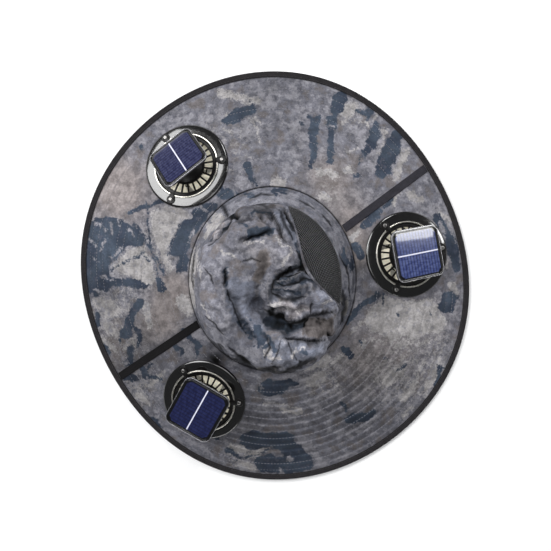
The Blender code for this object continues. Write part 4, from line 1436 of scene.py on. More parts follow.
def brushed(name, colour, roughness):
    look = Finish(name, roughness, metallic=1.0)
    lines = look.noise(0.0006, detail=3, place=look.stretched((1.0, 14.0, 1.0)))
    return look.shade(Base_Color=look.scaled(colour, look.step(lines, 0.3, 0.7, 0.8, 1.1)),
                      Roughness=look.step(lines, 0.3, 0.7, roughness - 0.08, roughness + 0.12))


WAFER_HALF_X = 0.0262
WAFER_HALF_Y = 0.0240
WAFER_CUT = 0.0045
FINGER_PITCH = 0.0038
BUSBAR_HALF_WIDTH = 0.0007


def solar_glass(name, deep, lit):
    """A blue wafer with cut corners and fine dark lines, on black, under clear resin."""
    look = Finish(name, 0.2, Coat_Weight=0.7, Coat_Roughness=0.04, Specular_IOR_Level=0.2)
    x, y = (look.math("ABSOLUTE", look.axis(i)) for i in (0, 1))
    inside_x = look.math("SUBTRACT", WAFER_HALF_X, x)
    inside_y = look.math("SUBTRACT", WAFER_HALF_Y, y)
    corner = look.math("SUBTRACT", look.math("ADD", inside_x, inside_y), WAFER_CUT)
    inside = look.math("MINIMUM", look.math("MINIMUM", inside_x, inside_y), corner)
    crystals = look.noise(0.006, detail=3, roughness=0.6, place=look.stretched((1.0, 2.5, 1.0)))
    blue = look.tint(deep, lit, crystals, 0.35, 0.65)
    waves = look.math("SINE", look.math("MULTIPLY", look.axis(0), 2 * pi / FINGER_PITCH))
    blue = look.tint(blue, paint(22, 22, 44), waves, 0.25, 0.85, end=0.65)
    colour = look.tint(paint(10, 10, 14), blue, inside, 0.0, 0.0003)
    return look.shade(Base_Color=colour, Roughness=look.step(crystals, 0.3, 0.7, 0.12, 0.25))


# Cloth pieces

def brim_piece(cloth, underside):
    turns = full_turn(BRIM_COLUMNS)
    inner = head_radius(turns)
    outer = outline_radius(turns) - BINDING_CLOTH - CLEAR
    shares = np.linspace(1, 0, BRIM_RINGS)[:, None]
    radius = inner + (outer - inner) * shares
    x, y = radius * np.cos(turns), radius * np.sin(turns)
    points = np.stack((x, y, quilted_top(x, y)), axis=-1)
    hidden = np.zeros(x.shape, bool)
    for unit in UNITS:
        hidden |= unit.distance(x, y) < COLLAR_RADIUS + 2 * CLEAR
    mesh = grid_mesh("brim_cloth", points, closed_across=True, skip=hidden)
    away = row_distance(x, y)
    spots = seen(points)
    # Painted highlight along the quilting lines and painted shade between them
    row_highlight = ROW_HIGHLIGHT_LEAST + tone_field(*spots, ROW_HIGHLIGHT)
    # Painted shade in the quilting grooves and at the foot of the band, as crease values
    edge = 0.5 * bell((radius - inner) / 0.0012)
    set_values(mesh,
               tone=tone_field(*spots, BRIM_TONES) + (bell(away / 0.13) - 0.35) * row_highlight,
               brown=tone_field(*spots, BRIM_BROWN),
               gravel=BRIM_GRAVEL_LEAST + tone_field(*spots, BRIM_GRAVEL),
               crease=np.clip(0.15 * bell(away / 0.07) + edge, 0, 1))
    spots = wandering(points, *spots, BRIM_RAGGED)
    set_values(mesh, dark=patch_field(*spots, BRIM_DARK), light=patch_field(*spots, BRIM_LIGHT),
               streak=patch_field(*spots, BRIM_STREAKS))
    drop_loose(mesh)
    piece = add_object("brim_cloth", mesh)
    add_thickness(piece, BRIM_CLOTH, inner_slot=1)
    return dress(piece, (cloth, underside), "hat", "camouflage_cloth", "brim")


def stitch_piece(name, thread, paths, slot):
    """Short stitches: each a rounded lozenge along its direction on the cloth."""
    rows = []
    faces = []
    ring = ((0.9, 0.35), (0, 0.9), (-0.9, 0.35), (0, -0.5))
    for middle, along, up in paths:
        across = along.cross(up)
        half, sunk = along * STITCH_LENGTH / 2, up * STITCH_WIDTH * 0.3
        start = len(rows)
        rows.append(middle - half - sunk)
        for share in (-0.28, 0.28):
            for side, rise in ring:
                rows.append(middle + along * STITCH_LENGTH * share
                            + (across * side + up * rise) * STITCH_WIDTH / 2)
        rows.append(middle + half - sunk)
        for i in range(4):
            j = (i + 1) % 4
            faces.append((start, start + 1 + j, start + 1 + i))
            faces.append((start + 1 + i, start + 1 + j, start + 5 + j, start + 5 + i))
            faces.append((start + 9, start + 5 + i, start + 5 + j))
    mesh = bpy.data.meshes.new(name)
    mesh.from_pydata([tuple(row) for row in rows], [], faces)
    mesh.shade_smooth()
    return dress(add_object(name, mesh), (thread,), "hat", slot)


def surface_paths(x, y, height):
    """Middle, direction and normal for each place along a closed row on a height field."""
    step = 0.0004
    z = height(x, y)
    slope_x = (height(x + step, y) - height(x - step, y)) / (2 * step)
    slope_y = (height(x, y + step) - height(x, y - step)) / (2 * step)
    points = np.stack((x, y, z), axis=-1)
    ahead = np.roll(points, -1, axis=0) - np.roll(points, 1, axis=0)
    return [(Vector(point), Vector(along).normalized(), Vector((-a, -b, 1)).normalized())
            for point, along, a, b in zip(points, ahead, slope_x, slope_y)]


def brim_stitches(thread):
    paths = []
    for row in range(1, STITCH_ROWS + 1):
        share = row / ROW_SPAN
        around = 2 * pi * (HEAD_HALF_Y + share * (OUTLINE_SHORT - HEAD_HALF_Y))
        turns = np.linspace(0, 2 * pi, int(around / STITCH_PITCH), endpoint=False) + row * 0.7
        inner = head_radius(turns)
        radius = inner + share * (flat_radius(turns) - inner)
        x, y = radius * np.cos(turns), radius * np.sin(turns)
        free = (fan_room(x, y) > 0.05) & (tape_distance(x, y) > TAPE_WIDTH / 2 + 0.001)
        found = surface_paths(x, y, quilted_top)
        paths += [path for path, kept in zip(found, free) if kept]
    return stitch_piece("brim_stitches", thread, paths, "camouflage_cloth")


def binding_piece(tape):
    """The tape folded over the rim: a rounded fold, pressed on the brim, with slight puckers."""
    turns = full_turn(BRIM_COLUMNS)
    height = BINDING_HEIGHT
    section = rounded((
        (-BINDING_WIDTH, 0), (0, 0), (0, height), (-BINDING_FLAP, height),
        (-BINDING_FLAP, height - BINDING_CLOTH), (-BINDING_CLOTH, height - BINDING_CLOTH),
        (-BINDING_CLOTH, BINDING_CLOTH), (-BINDING_WIDTH, BINDING_CLOTH)), 0.0012, steps=4)
    pucker = np.sin(turns * 151) * 0.6 + np.sin(turns * 97 + 1) * 0.4
    rows = []
    for step, level in section:
        upper = smooth((level - height / 2) / (height / 2))
        radius = outline_radius(turns) + step + 0.00012 * pucker * (step < -0.003)
        rise = level + 0.00018 * pucker * upper * smooth(-step / 0.002)
        rows.append(polar(radius, turns, rise))
    mesh = grid_mesh("rim_binding", np.array(rows), closed_across=True, closed_along=True)
    return dress(add_object("rim_binding", mesh), (tape,), "hat", "black_tape", "brim_binding")


def binding_stitches(thread):
    turns = full_turn(BINDING_STITCHES)
    radius = outline_radius(turns) - BINDING_FLAP + BINDING_STITCH_INSET
    paths = surface_paths(radius * np.cos(turns), radius * np.sin(turns),
                          lambda x, y: 0 * x + BINDING_HEIGHT + 0.00005)
    return stitch_piece("binding_stitches", thread, paths, "black_tape")


def tape_piece(side, tape):
    """A flat woven tape with raised edges and ribs along it."""
    start, end = tape_course(side)
    along = (end - start) / np.linalg.norm(end - start)
    across = np.array((-along[1], along[0]))
    lane = np.linspace(-1, 1, TAPE_LANES)
    rows = []
    for share in np.linspace(0, 1, TAPE_STATIONS):
        middle = start + (end - start) * share
        x = middle[0] + across[0] * lane * TAPE_WIDTH / 2
        y = middle[1] + across[1] * lane * TAPE_WIDTH / 2
        turn = np.arctan2(y, x)
        longest = outline_radius(turn) - BINDING_WIDTH - CLEAR * 1.5
        shortest = head_radius(turn) + TAPE_CLOTH
        radius = np.clip(np.hypot(x, y), shortest, longest)
        if share == 0:
            radius = shortest
        if share == 1:
            radius = longest
        x, y = radius * np.cos(turn), radius * np.sin(turn)
        ribs = 0.00012 * np.cos(lane * pi * 6) + 0.00015 * smooth((np.abs(lane) - 0.8) / 0.2)
        rows.append(np.stack((x, y, calm_top(x, y) + CLEAR + TAPE_CLOTH + ribs), axis=-1))
    mesh = grid_mesh(f"tape_{side}", np.array(rows))
    mesh.flip_normals()
    piece = add_object(f"tape_{side}", mesh)
    add_thickness(piece, TAPE_CLOTH)
    return dress(piece, (tape,), "hat", "black_tape", f"brim_tape_{side}")


def normals_of(points):
    """Outward normals of a sheet whose rows run all the way round."""
    around = np.roll(points, -1, axis=1) - np.roll(points, 1, axis=1)
    normal = np.cross(around, np.gradient(points, axis=0))
    return normal / np.maximum(np.linalg.norm(normal, axis=-1, keepdims=True), 1e-12)


def band_piece(cloth):
    turns = full_turn(BAND_COLUMNS)
    shares = np.linspace(0, 1, BAND_RINGS)[:, None]
    points = band_point(shares, turns[None, :] + 0 * shares)
    wrinkle = rippled(points, BAND_WAVES)
    hem = HEM_RISE * (bell((shares - 0.06) / 0.05) - bell((shares - HEM_SEAM) / 0.03))
    # Painted shade along the band's foot, its hem seam and its crease lines, carried by the crease
    # value
    seam = bell(shares / 0.05) + 0.4 * bell((shares - HEM_SEAM) / 0.025)
    seam = seam * (0.65 + 0.35 * np.sin(turns * 3 + 1.0) * np.sin(turns * 7))
    seam, cut = drawn_lines(points, BAND_LINES, seam)
    push = (wrinkle - 0.6 * cut) * np.sin(pi * shares) + hem
    points = points + normals_of(points) * push[..., None]
    mesh = grid_mesh("band_cloth", points, closed_across=True)
    spots = wandering(points, *seen(points), CROWN_RAGGED)
    set_values(mesh, dark=patch_field(*spots, BAND_DARK), light=patch_field(*spots, BAND_LIGHT),
               tone=tone_field(*spots, BAND_TONES), crease=np.clip(seam, 0, 1),
               streak=-FIELD_LIMIT, brown=-0.5, gravel=0.4)
    piece = add_object("band_cloth", mesh)
    add_thickness(piece, BAND_CLOTH)
    return dress(piece, (cloth,), "hat", "camouflage_cloth", "crown_band")


# Camouflage, creases and tones of the band, like those of the crown
BAND_DARK = (
    (4, 3, (276, 190), (286, 191)),
    (3, 3, (345, 252), (350, 268)),
    (2.5, 2, (246, 192), (252, 196)),
)
BAND_LIGHT = (
    (6, 6, (193, 240), (190, 270), (193, 300)),
    (4, 3, (200, 225), (210, 212)),
    (3, 2, (224, 345), (238, 358)),
    ("area", (203, 240), (208, 226), (215, 215), (221, 211), (224, 217), (222, 224), (214, 231),
     (208, 240)),
    (3, 2, (345, 300), (346, 315)),
)
# Crease lines of the band, darkened with painted shade; the widest ones at the lower left and bottom
# are painted shadow under the crown's edge
BAND_LINES = (
    (1.0, (338, 252), (346, 266), (349, 284), (350, 300)),
    (1.4, (341, 300), (346, 312), (341, 324)),
    (0.8, (346, 322), (352, 312), (356, 300)),
    (0.8, (300, 200), (316, 210)),
    (0.8, (322, 214), (332, 228)),
    (1.6, (202, 334), (210, 346), (224, 360)),
    (1.2, (218, 356), (236, 368), (252, 373)),
    (3.4, (214, 350), (232, 364), (256, 372)),
    (3.2, (256, 372), (286, 373), (312, 362)),
    (3.0, (343, 290), (346, 306), (343, 322)),
    (0.8, (250, 198), (262, 193), (274, 195)),
    (1.7, (221, 203), (225, 211), (228, 217)),
    (0.8, (196, 250), (192, 268), (194, 290)),
)
# Painted light and shade of the band, with the print's own tone; the lower left and bottom ones are
# painted shadow under the crown
BAND_TONES = (
    ("upper right", 330, 220, 40, -0.02),
    ("right", 350, 285, 30, -0.04),
    ("top", 262, 194, 24, 0.14),
    ("cream rim", 214, 221, 11, 0.24),
    ("lower right", 335, 345, 24, -0.25),
    ("left", 192, 265, 35, 0.30),
    ("lower left", 224, 355, 20, -0.60),
    ("bottom", 268, 374, 26, -0.85),
)


def crown_piece(cloth, inside):
    turns = full_turn(CROWN_COLUMNS)
    lowest = window_share(turns)
    rings = np.linspace(0, 1, CROWN_RINGS, endpoint=False)[:, None]
    shares = lowest + (1 - lowest) * rings
    base = crown_point(shares, turns[None, :] + 0 * shares)
    spots = seen(base)
    depth, creased = fold_depth(*wandering(base, *spots, 0.9))
    creased, cut = drawn_lines(base, CROWN_LINES, creased)
    depth = depth * CREASE_GAIN + cut
    free = smooth((shares - lowest) / 0.10)
    wrinkle = rippled(base, CROWN_WAVES)
    # Folds go along the normals of a calmed sheet, because its own ones cross in a deep fold
    calm = np.stack([evened(base[..., axis], CALMING) for axis in range(3)], axis=-1)
    push = normals_of(base) * wrinkle[..., None] - normals_of(calm) * depth[..., None]
    points = base + push * free[..., None]
    pole = points[-1].mean(axis=0)
    mesh = grid_mesh("crown_cloth", points, closed_across=True, pole=pole)
    relief = (wrinkle - depth) * free
    # Painted shade in the relief's hollows and painted light on its ridges, as tone
    raised = np.clip((relief - evened(relief, HOLLOW_SPREAD)) / HOLLOW_DEPTH, -1.6, 1.0)
    # Painted shade along the crown's edge by the window, as crease
    hem = 0.5 * bell((shares - lowest) / 0.018)
    spots = [np.append(spot, at_pole) for spot, at_pole in
             zip(wandering(points, *spots, CROWN_RAGGED), seen(pole))]
    tone, brown = area_fields(*spots, CROWN_AREAS)
    set_values(mesh, dark=patch_field(*spots, CROWN_DARK), light=patch_field(*spots, CROWN_LIGHT),
               streak=patch_field(*spots, CROWN_STREAKS), gravel=tone_field(*spots, CROWN_GRAVEL),
               tone=tone + HOLLOW_SHADE * np.append(raised, raised[-1].mean()), brown=brown,
               crease=np.append(np.clip(creased + hem, 0, 1), 0.0))
    piece = add_object("crown_cloth", mesh)
    add_thickness(piece, CROWN_CLOTH, inner_slot=1)
    return dress(piece, (cloth, inside), "hat", "camouflage_cloth", "crown")


def hem_piece(cloth):
    """The crown cloth's rolled edge along the mesh window."""
    turns = WINDOW_AT + WINDOW_HALF * np.linspace(-0.999, 0.999, 160)
    middle = crown_point(window_share(turns), turns)
    inward = crown_point(window_share(turns) + 0.03, turns) - middle
    inward /= np.linalg.norm(inward, axis=1, keepdims=True)
    along = np.gradient(middle, axis=0)
    along /= np.linalg.norm(along, axis=1, keepdims=True)
    up = np.cross(along, inward)
    rows = [middle + inward * (0.0004 + HEM_HALF_WIDTH * cos(turn))
            + up * (0.0002 + HEM_HALF_HEIGHT * sin(turn)) for turn in full_turn(12)]
    mesh = closed(grid_mesh("window_hem", np.array(rows), closed_along=True))
    set_values(mesh, dark=-FIELD_LIMIT, light=-FIELD_LIMIT, streak=-FIELD_LIMIT,
               tone=-0.35, crease=0, brown=0, gravel=0)
    return dress(add_object("window_hem", mesh), (cloth,), "hat", "camouflage_cloth")


def net_piece(net, edging):
    """The window's net: even rows of small openings between fine threads, in a closed border."""
    turns = WINDOW_AT + WINDOW_HALF * np.linspace(-1, 1, NET_COLUMNS)
    samples = np.linspace(0, 1, NET_COLUMNS)[:, None]
    lines = crown_point((window_share(turns) - CROWN_SEAM / CROWN_HEIGHT) * samples,
                        turns[None, :] + 0 * samples)
    steps = np.linalg.norm(np.diff(lines, axis=0), axis=-1)
    run = np.vstack((np.zeros(len(turns)), np.cumsum(steps, axis=0)))
    longest = run[-1].max()
    rows = []
    border = []
    for level in np.arange(0, longest + NET_PITCH, NET_PITCH):
        row = []
        for i in range(len(turns)):
            reach = min(level, run[-1, i])
            row.append([np.interp(reach, run[:, i], lines[:, i, axis]) for axis in range(3)])
            border.append(min(reach, run[-1, i] - reach))
        rows.append(row)
    mesh = grid_mesh("window_net", np.array(rows))
    set_values(mesh, border=border)
    shape = bmesh.new()
    shape.from_mesh(mesh)
    bmesh.ops.remove_doubles(shape, verts=shape.verts, dist=0.00002)
    bmesh.ops.dissolve_degenerate(shape, edges=shape.edges, dist=0.0001)
    layer = shape.verts.layers.float["border"]
    open_faces = []
    for face in shape.faces:
        if max(vert[layer] for vert in face.verts) > NET_BORDER:
            open_faces.append(face)
        else:
            face.material_index = 1
    inset = bmesh.ops.inset_individual(shape, faces=open_faces, thickness=NET_WIRE / 2)
    rims = set(inset["faces"])
    middle = [face for face in open_faces if face not in rims]
    bmesh.ops.delete(shape, geom=middle, context="FACES")
    shape.to_mesh(mesh)
    shape.free()
    piece = add_object("window_net", mesh)
    add_thickness(piece, NET_CLOTH)
    return dress(piece, (net, edging), "hat", "black_mesh", "mesh_window")


# Fan pieces, each in its unit's frame

def lug_meshes():
    meshes = []
    low = FLANGE_TOP * 0.6
    for turn in LUG_TURNS:
        place = Matrix.Translation((LUG_REACH * cos(turn), LUG_REACH * sin(turn), 0))
        meshes.append(soft_cylinder("lug", LUG_RADIUS, low, LUG_TOP, 0.0008, matrix=place))
        meshes.append(soft_box("clip", (CLIP_START, -CLIP_HALF_WIDTH, low),
                               (LUG_REACH, CLIP_HALF_WIDTH, LIP_TOP + 0.0003), 0.0006,
                               Matrix.Rotation(turn, 4, "Z")))
    return meshes


def flange_mesh():
    inner = COLLAR_RADIUS - COLLAR_WALL
    ledge = inner - LEDGE_WIDTH
    profile = rounded((
        (inner, LIP_TOP - 0.0012), (inner + 0.0014, LIP_TOP - 0.0014),
        (inner + 0.0022, FLANGE_TOP + 0.0004), (FLANGE_RADIUS - 0.0062, FLANGE_TOP),
        (FLANGE_RADIUS - 0.0016, FLANGE_TOP - 0.0006), (FLANGE_RADIUS - 0.0002, FLANGE_TOP * 0.45),
        (FLANGE_RADIUS, CLEAR), (COLLAR_RADIUS, CLEAR), (COLLAR_RADIUS, -COLLAR_DEPTH),
        (ledge, -COLLAR_DEPTH), (ledge, LEDGE_TOP), (inner, LEDGE_TOP)), 0.0007)
    return turned_mesh("flange", profile[::-1], RING_SEGMENTS)


def lip_mesh():
    """The bright ring on the housing's inner edge."""
    inner = COLLAR_RADIUS - COLLAR_WALL
    low = LIP_TOP - LIP_DEPTH
    profile = rounded(((inner - 0.0001, low), (inner + LIP_WIDTH, low),
                       (inner + LIP_WIDTH - 0.0003, LIP_TOP), (inner + 0.0001, LIP_TOP)), 0.0005)
    return turned_mesh("fan_lip", profile, RING_SEGMENTS)


def lock_mesh():
    """The ring under the brim, with guard bars and rings across it."""
    top = -BRIM_CLOTH - CLEAR
    hole = COLLAR_RADIUS + CLEAR * 2
    reach = (hole + LOCK_RADIUS) / 2
    meshes = [ring_mesh("ring", hole, LOCK_RADIUS, -LOCK_DEPTH, top, 0.0010, 96)]
    meshes += spokes("bar", GUARD_BARS, pi, (-reach, -GUARD_HALF_WIDTH, -LOCK_DEPTH),
                     (reach, GUARD_HALF_WIDTH, GUARD_TOP))
    for radius in GUARD_RINGS:
        meshes.append(ring_mesh("guard_ring", radius, radius + GUARD_RING_WIDTH, -LOCK_DEPTH,
                                GUARD_TOP - 0.0001, RING_BEVEL, 72))
    meshes.append(soft_cylinder("hub", GUARD_HUB, -LOCK_DEPTH, GUARD_TOP, 0.0005, 36))
    return join_meshes("fan_lock", meshes)


def grille_mesh():
    """Two rings joined by ribs, with the motor's housing, neck and hinge eye on top."""
    outer = COLLAR_RADIUS - COLLAR_WALL - 2 * CLEAR
    low = LEDGE_TOP + CLEAR
    meshes = [ring_mesh("rim", outer - GRILLE_RIM, outer, low, GRILLE_TOP, RING_BEVEL, 96),
              ring_mesh("rim", *GRILLE_MIDDLE, low, GRILLE_TOP + 0.0004, RING_BEVEL, 96)]
    meshes += spokes("rib", GRILLE_RIBS, 2 * pi, (RIB_START, -RIB_HALF_WIDTH, low),
                     (outer - 0.0010, RIB_HALF_WIDTH, GRILLE_TOP))
    foot, top = GRILLE_TOP - 0.0010, GRILLE_TOP + MOTOR_HEIGHT
    motor = rounded(((0.0002, top), (MOTOR_TOP_RADIUS, top), (MOTOR_FOOT, GRILLE_TOP + 0.0006),
                     (MOTOR_FOOT, foot), (0.0002, foot)), 0.0012, looped=False)
    meshes.append(turned_mesh("motor", motor[::-1], 64, looped=False))
    meshes.append(soft_cylinder("neck", NECK_RADIUS, top - 0.002, HINGE_HEIGHT - 0.001, BAR_BEVEL,
                                20))
    across = Matrix.Translation((0, 0, HINGE_HEIGHT)) @ Matrix.Rotation(pi / 2, 4, "X")
    meshes.append(soft_cylinder("eye", EYE_RADIUS, -EYE_WIDTH / 2, EYE_WIDTH / 2, RING_BEVEL,
                                matrix=across))
    return join_meshes("fan_grille", meshes)


def rotor_mesh():
    """Hub and broad, slightly twisted blades."""
    low = ROTOR_TOP - ROTOR_THICK
    meshes = [soft_cylinder("hub", ROTOR_HUB, low + 0.0001, ROTOR_TOP - 0.0002, 0.0008, 48)]
    pitch = 2 * pi / ROTOR_BLADES
    reach = np.linspace(ROTOR_HUB * 0.93, BLADE_REACH, 9)[:, None]
    across = np.linspace(0, 1, 10)[None, :]
    grow = (reach - ROTOR_HUB) / (BLADE_REACH - ROTOR_HUB)
    sweep = pitch * (0.30 * np.maximum(grow, 0) ** 1.5 + (0.72 + 0.16 * grow) * across)
    slant = 0.0030 * (1 - across) * (1 - 0.25 * grow)
    height = low + 0.0006 + slant + 0.0004 * np.sin(pi * across)
    for number in range(ROTOR_BLADES):
        upper = polar(reach, number * pitch + sweep, height + BLADE_THICK / 2)
        lower = upper - (0, 0, BLADE_THICK)
        loop = np.concatenate((upper, lower[:, ::-1]), axis=1)
        meshes.append(closed(grid_mesh("blade", loop, closed_across=True)))
    return join_meshes("fan_rotor", meshes)


def plate_loop(length, width, corner, inset, height, steps=8):
    """Points of a rounded rectangle, anticlockwise."""
    corner = max(corner - inset, 0.0006)
    half_x, half_y = length / 2 - inset - corner, width / 2 - inset - corner
    points = []
    for quarter, (side_x, side_y) in enumerate(((1, 1), (-1, 1), (-1, -1), (1, -1))):
        for step in range(steps + 1):
            turn = pi / 2 * (quarter + step / steps)
            points.append((side_x * half_x + corner * cos(turn),
                           side_y * half_y + corner * sin(turn), height))
    return points


def plate_mesh(name, profile, length, width, corner, capped=True):
    """A rounded plate from a profile of (inset, height) that runs over its edge."""
    rows = np.array([plate_loop(length, width, corner, inset, height)
                     for inset, height in profile])
    mesh = grid_mesh(name, rows, closed_across=True, closed_along=not capped)
    return closed(mesh) if capped else mesh


def tray_mesh():
    low, high = TRAY_STAND, TRAY_STAND + TRAY_THICK
    profile = rounded(((0.004, low), (0.0, low + 0.0008), (0.0, high - 0.0001), (TRAY_RIM, high),
                       (TRAY_RIM, low + TRAY_FLOOR)), 0.0005, looped=False)
    meshes = [plate_mesh("tray", profile, TRAY_LENGTH, TRAY_WIDTH, TRAY_CORNER)]
    across = Matrix.Rotation(pi / 2, 4, "X")
    near = EYE_WIDTH / 2 + CLEAR
    far = near + EAR_THICK
    meshes.append(soft_cylinder("pin", PIN_RADIUS, -far, far, BAR_BEVEL, 16, across))
    for lower, upper in ((-far, -near), (near, far)):
        meshes.append(soft_cylinder("ear", EAR_RADIUS, lower, upper, BAR_BEVEL, matrix=across))
        meshes.append(soft_box("stem", (-EAR_RADIUS, lower, 0), (EAR_RADIUS, upper, low + 0.0006),
                               BAR_BEVEL))
    for reach in (-BRACE_REACH, BRACE_REACH):
        meshes.append(soft_box("brace", (-BRACE_HALF_LENGTH, reach - BRACE_DEPTH, low - BRACE_DEPTH),
                               (BRACE_HALF_LENGTH, reach + BRACE_DEPTH, low + 0.0004), BAR_BEVEL))
    return join_meshes("fan_tray", meshes)


def trim_mesh():
    """A thin bright metal edge round the top of the tray, which stands in for the highlights on the
    tray's edges.
    """
    high = TRAY_STAND + TRAY_THICK
    profile = rounded(((-0.0002, high - 0.0012), (0.0003, high - 0.0010), (0.0005, high + 0.0001),
                       (0.0, high + 0.0001)), 0.0002)
    return plate_mesh("fan_trim", profile, TRAY_LENGTH, TRAY_WIDTH, TRAY_CORNER, capped=False)


def cell_mesh():
    low = TRAY_STAND + TRAY_FLOOR + CLEAR
    top = low + CELL_THICK
    inset = 2 * (TRAY_RIM + CLEAR)
    profile = rounded(((0.0002, low), (0.0, top - 0.0003), (0.0005, top), (0.004, top + 0.0001)),
                      0.0003, looped=False)
    return plate_mesh("fan_cells", profile, TRAY_LENGTH - inset, TRAY_WIDTH - inset,
                      TRAY_CORNER - TRAY_RIM - CLEAR)


def busbar_mesh():
    top = TRAY_STAND + TRAY_FLOOR + CLEAR + CELL_THICK
    return soft_box("fan_busbar", (-WAFER_HALF_X, -BUSBAR_HALF_WIDTH, top - 0.0002),
                    (WAFER_HALF_X, BUSBAR_HALF_WIDTH, top + 0.00025), 0.0001)


def screw_mesh():
    """A pan head, which gets its cross slot from slot_mesh."""
    head = rounded(((PINHOLE, SCREW_HEIGHT), (SCREW_RADIUS * 0.75, SCREW_HEIGHT),
                    (SCREW_RADIUS, 0.0004), (SCREW_RADIUS, 0), (PINHOLE, 0)), 0.0005, looped=False)
    return closed(turned_mesh("fan_screw", head[::-1], 32, looped=False))


def slot_mesh():
    """The cross in a screw's head, as a dark insert: painted shade for the slot's recess."""
    meshes = [soft_box("slot", (-0.0014, -0.0002, SCREW_HEIGHT - 0.0003),
                       (0.0014, 0.0002, SCREW_HEIGHT + 0.00004), 0.00005,
                       Matrix.Rotation(pi / 2 * number, 4, "Z")) for number in (0, 1)]
    return join_meshes("fan_slot", meshes)


def fan_pieces(looks):
    flange, lip, lock, grille = flange_mesh(), lip_mesh(), lock_mesh(), grille_mesh()
    rotor, tray, trim, busbar = rotor_mesh(), tray_mesh(), trim_mesh(), busbar_mesh()
    screw, slot, lugs = screw_mesh(), slot_mesh(), join_meshes("fan_lugs", lug_meshes())
    for number, unit in enumerate(UNITS, 1):
        name, at = unit.name, unit.matrix
        still, spinning, tilting = "hat", f"{name}_rotor_body", f"{name}_panel_body"
        parts = (
            ("housing", flange, at, looks["gloss"], still, "black_gloss", f"{name}_flange"),
            ("lugs", lugs, at, looks["satin"], still, "black_gloss", None),
            ("lip", lip, at, looks["lip"], still, "screw_steel", None),
            ("lock", lock, at, looks["satin"], still, "black_gloss", f"{name}_lock_ring"),
            ("guard", grille, at, looks["satin"], still, "black_gloss", f"{name}_grille"),
            ("blades", rotor, at, looks["cream"], spinning, "cream_plastic", f"{name}_rotor"),
            ("tray", tray, unit.tilted, looks["gloss"], tilting, "black_gloss", f"{name}_panel"),
            ("trim", trim, unit.tilted, looks["trim"], tilting, "screw_steel", None),
            ("busbar", busbar, unit.tilted, looks["busbar"], tilting, "screw_steel", None),
        )
        for word, mesh, matrix, look, body, slot_name, node in parts:
            piece = add_object(f"{name}_{word}", mesh.copy(), matrix)
            dress(piece, (look,), body, slot_name, *((node,) if node else ()))
        cells = add_object(f"{name}_solar", cell_mesh(), unit.tilted)
        dress(cells, (looks[f"solar_{number}"],), tilting, "solar_cells", f"{name}_cells")
        for count, turn in enumerate(LUG_TURNS, 1):
            place = at @ Matrix.Translation((LUG_REACH * cos(turn), LUG_REACH * sin(turn),
                                             LUG_TOP + CLEAR)) @ Matrix.Rotation(turn, 4, "Z")
            head = add_object(f"{name}_fixing_{count}", screw.copy(), place)
            dress(head, (looks["steel"],), still, "screw_steel", f"{name}_screw_{count}")
            cross = add_object(f"{name}_fixing_slot_{count}", slot.copy(), place)
            dress(cross, (looks["satin"],), still, "black_gloss")


# Stage

FLOOR_HALF = 4.0


def add_floor():
    look = Finish("floor_white", 0.9)
    speck = look.noise(0.05, detail=3)
    look.shade(Base_Color=look.scaled(paint(250, 250, 250), look.step(speck, 0, 1, 0.99, 1.01)),
               Emission_Color=paint(255, 255, 255), Emission_Strength=0.006)
    mesh = bpy.data.meshes.new("floor")
    corners = [(x * FLOOR_HALF, y * FLOOR_HALF, 0) for x, y in ((-1, -1), (1, -1), (1, 1), (-1, 1))]
    mesh.from_pydata(corners, [], [(0, 1, 2, 3)])
    mesh.materials.append(look.material)
    add_object("floor", mesh)


def add_light(name, place, aim, size, power, colour=(1, 1, 1)):
    data = bpy.data.lights.new(name, "AREA")
    data.shape = "RECTANGLE"
    data.size, data.size_y = size
    data.energy = power
    data.color = colour
    light = bpy.data.objects.new(name, data)
    bpy.context.scene.collection.objects.link(light)
    light.location = place
    light.rotation_euler = (Vector(aim) - Vector(place)).to_track_quat("-Z", "Y").to_euler()


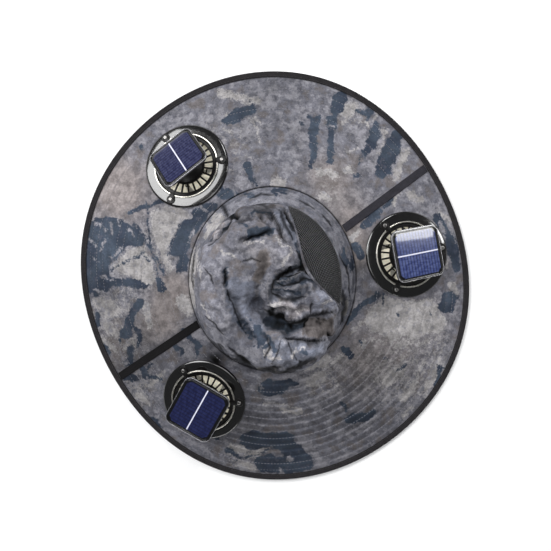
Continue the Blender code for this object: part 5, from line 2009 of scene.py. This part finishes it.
def add_lights():
    world = bpy.data.worlds.new("studio")
    world.use_nodes = True
    sky = world.node_tree.nodes["Background"].inputs
    sky["Color"].default_value = (0.93, 0.96, 1.0, 1)
    sky["Strength"].default_value = 0.15
    bpy.context.scene.world = world
    add_light("key", (0.35, 1.25, 1.10), (0, 0, 0), (0.5, 0.4), 10)
    add_light("left", (-0.98, 0.76, 1.42), (-0.09, 0.12, 0.02), (1.1, 1.1), 30)
    add_light("right", (1.39, 0.45, 0.74), (0.165, 0.03, 0.05), (0.35, 0.30), 5)
    add_light("overhead", (0, 0, 2.6), (0, 0, 0), (1.2, 1.2), 14)
    add_light("low front", (-0.3, -1.6, 0.5), (0, 0, 0), (1.6, 0.2), 8)


def show_like_a_photograph():
    bpy.context.scene.view_settings.view_transform = "Standard"


add_camera()
cloth = camouflage("camouflage_brim")
crown_cloth = camouflage("camouflage_crown", brightness=0.95, speckle=0.7)
underside = plain_cloth("brim_underside", paint(92, 92, 100))
tape = webbing("black_webbing", paint(38, 36, 38))
# The two tapes are one webbing: the left one is painted darker as shade, the right one lighter
tapes = {"right": webbing("tape_webbing_right", paint(46, 45, 51)),
         "left": webbing("tape_webbing_left", paint(17, 16, 18))}
thread = plain_cloth("pale_thread", paint(128, 127, 133), pitch=0.0003)
dark_thread = plain_cloth("black_thread", paint(34, 33, 35), pitch=0.0003)
brim_piece(cloth, underside)
brim_stitches(thread)
binding_piece(tape)
binding_stitches(dark_thread)
for tape_side in TAPE_TURNS:
    tape_piece(tape_side, tapes[tape_side])
band_piece(crown_cloth)
crown_piece(crown_cloth, plain_cloth("crown_inside", paint(46, 46, 51)))
hem_piece(crown_cloth)
# The net's solid border is much darker than the net: a binding, darkened further as painted shadow
# along the window's edge
net_piece(plain_cloth("black_net", paint(38, 38, 41), pitch=0.0004),
          plain_cloth("net_border", paint(15, 15, 18), pitch=0.0004))
fan_pieces({
    "gloss": moulded("gloss_black", paint(12, 11, 11), 0.12, wear=0.06, Coat_Weight=0.9),
    "satin": moulded("satin_black", paint(12, 11, 11), 0.35, wear=0.15, Specular_IOR_Level=0.25),
    # The cream rotor glows a little: painted light for blades that lie in the shade under the grille
    "cream": moulded("cream_plastic", paint(226, 220, 200), 0.35, wear=0.15, painted_glow=0.35),
    "lip": brushed("silver_lip", paint(226, 222, 212), 0.26),
    "trim": brushed("edge_highlight_trim", paint(188, 187, 192), 0.30),
    # The busbar glows a little: painted light
    "busbar": moulded("silver_busbar", paint(205, 206, 222), 0.35, wear=0.1, painted_glow=0.12),
    "steel": brushed("screw_steel", paint(150, 148, 146), 0.30),
    # The three cell plates are one material in three shades: painted light and shade for how each
    # panel catches the light
    "solar_1": solar_glass("solar_blue_1", paint(50, 60, 108), paint(74, 86, 134)),
    "solar_2": solar_glass("solar_blue_2", paint(36, 39, 70), paint(55, 58, 90)),
    "solar_3": solar_glass("solar_blue_3", paint(22, 26, 60), paint(33, 39, 78)),
})
add_floor()
add_lights()
show_like_a_photograph()
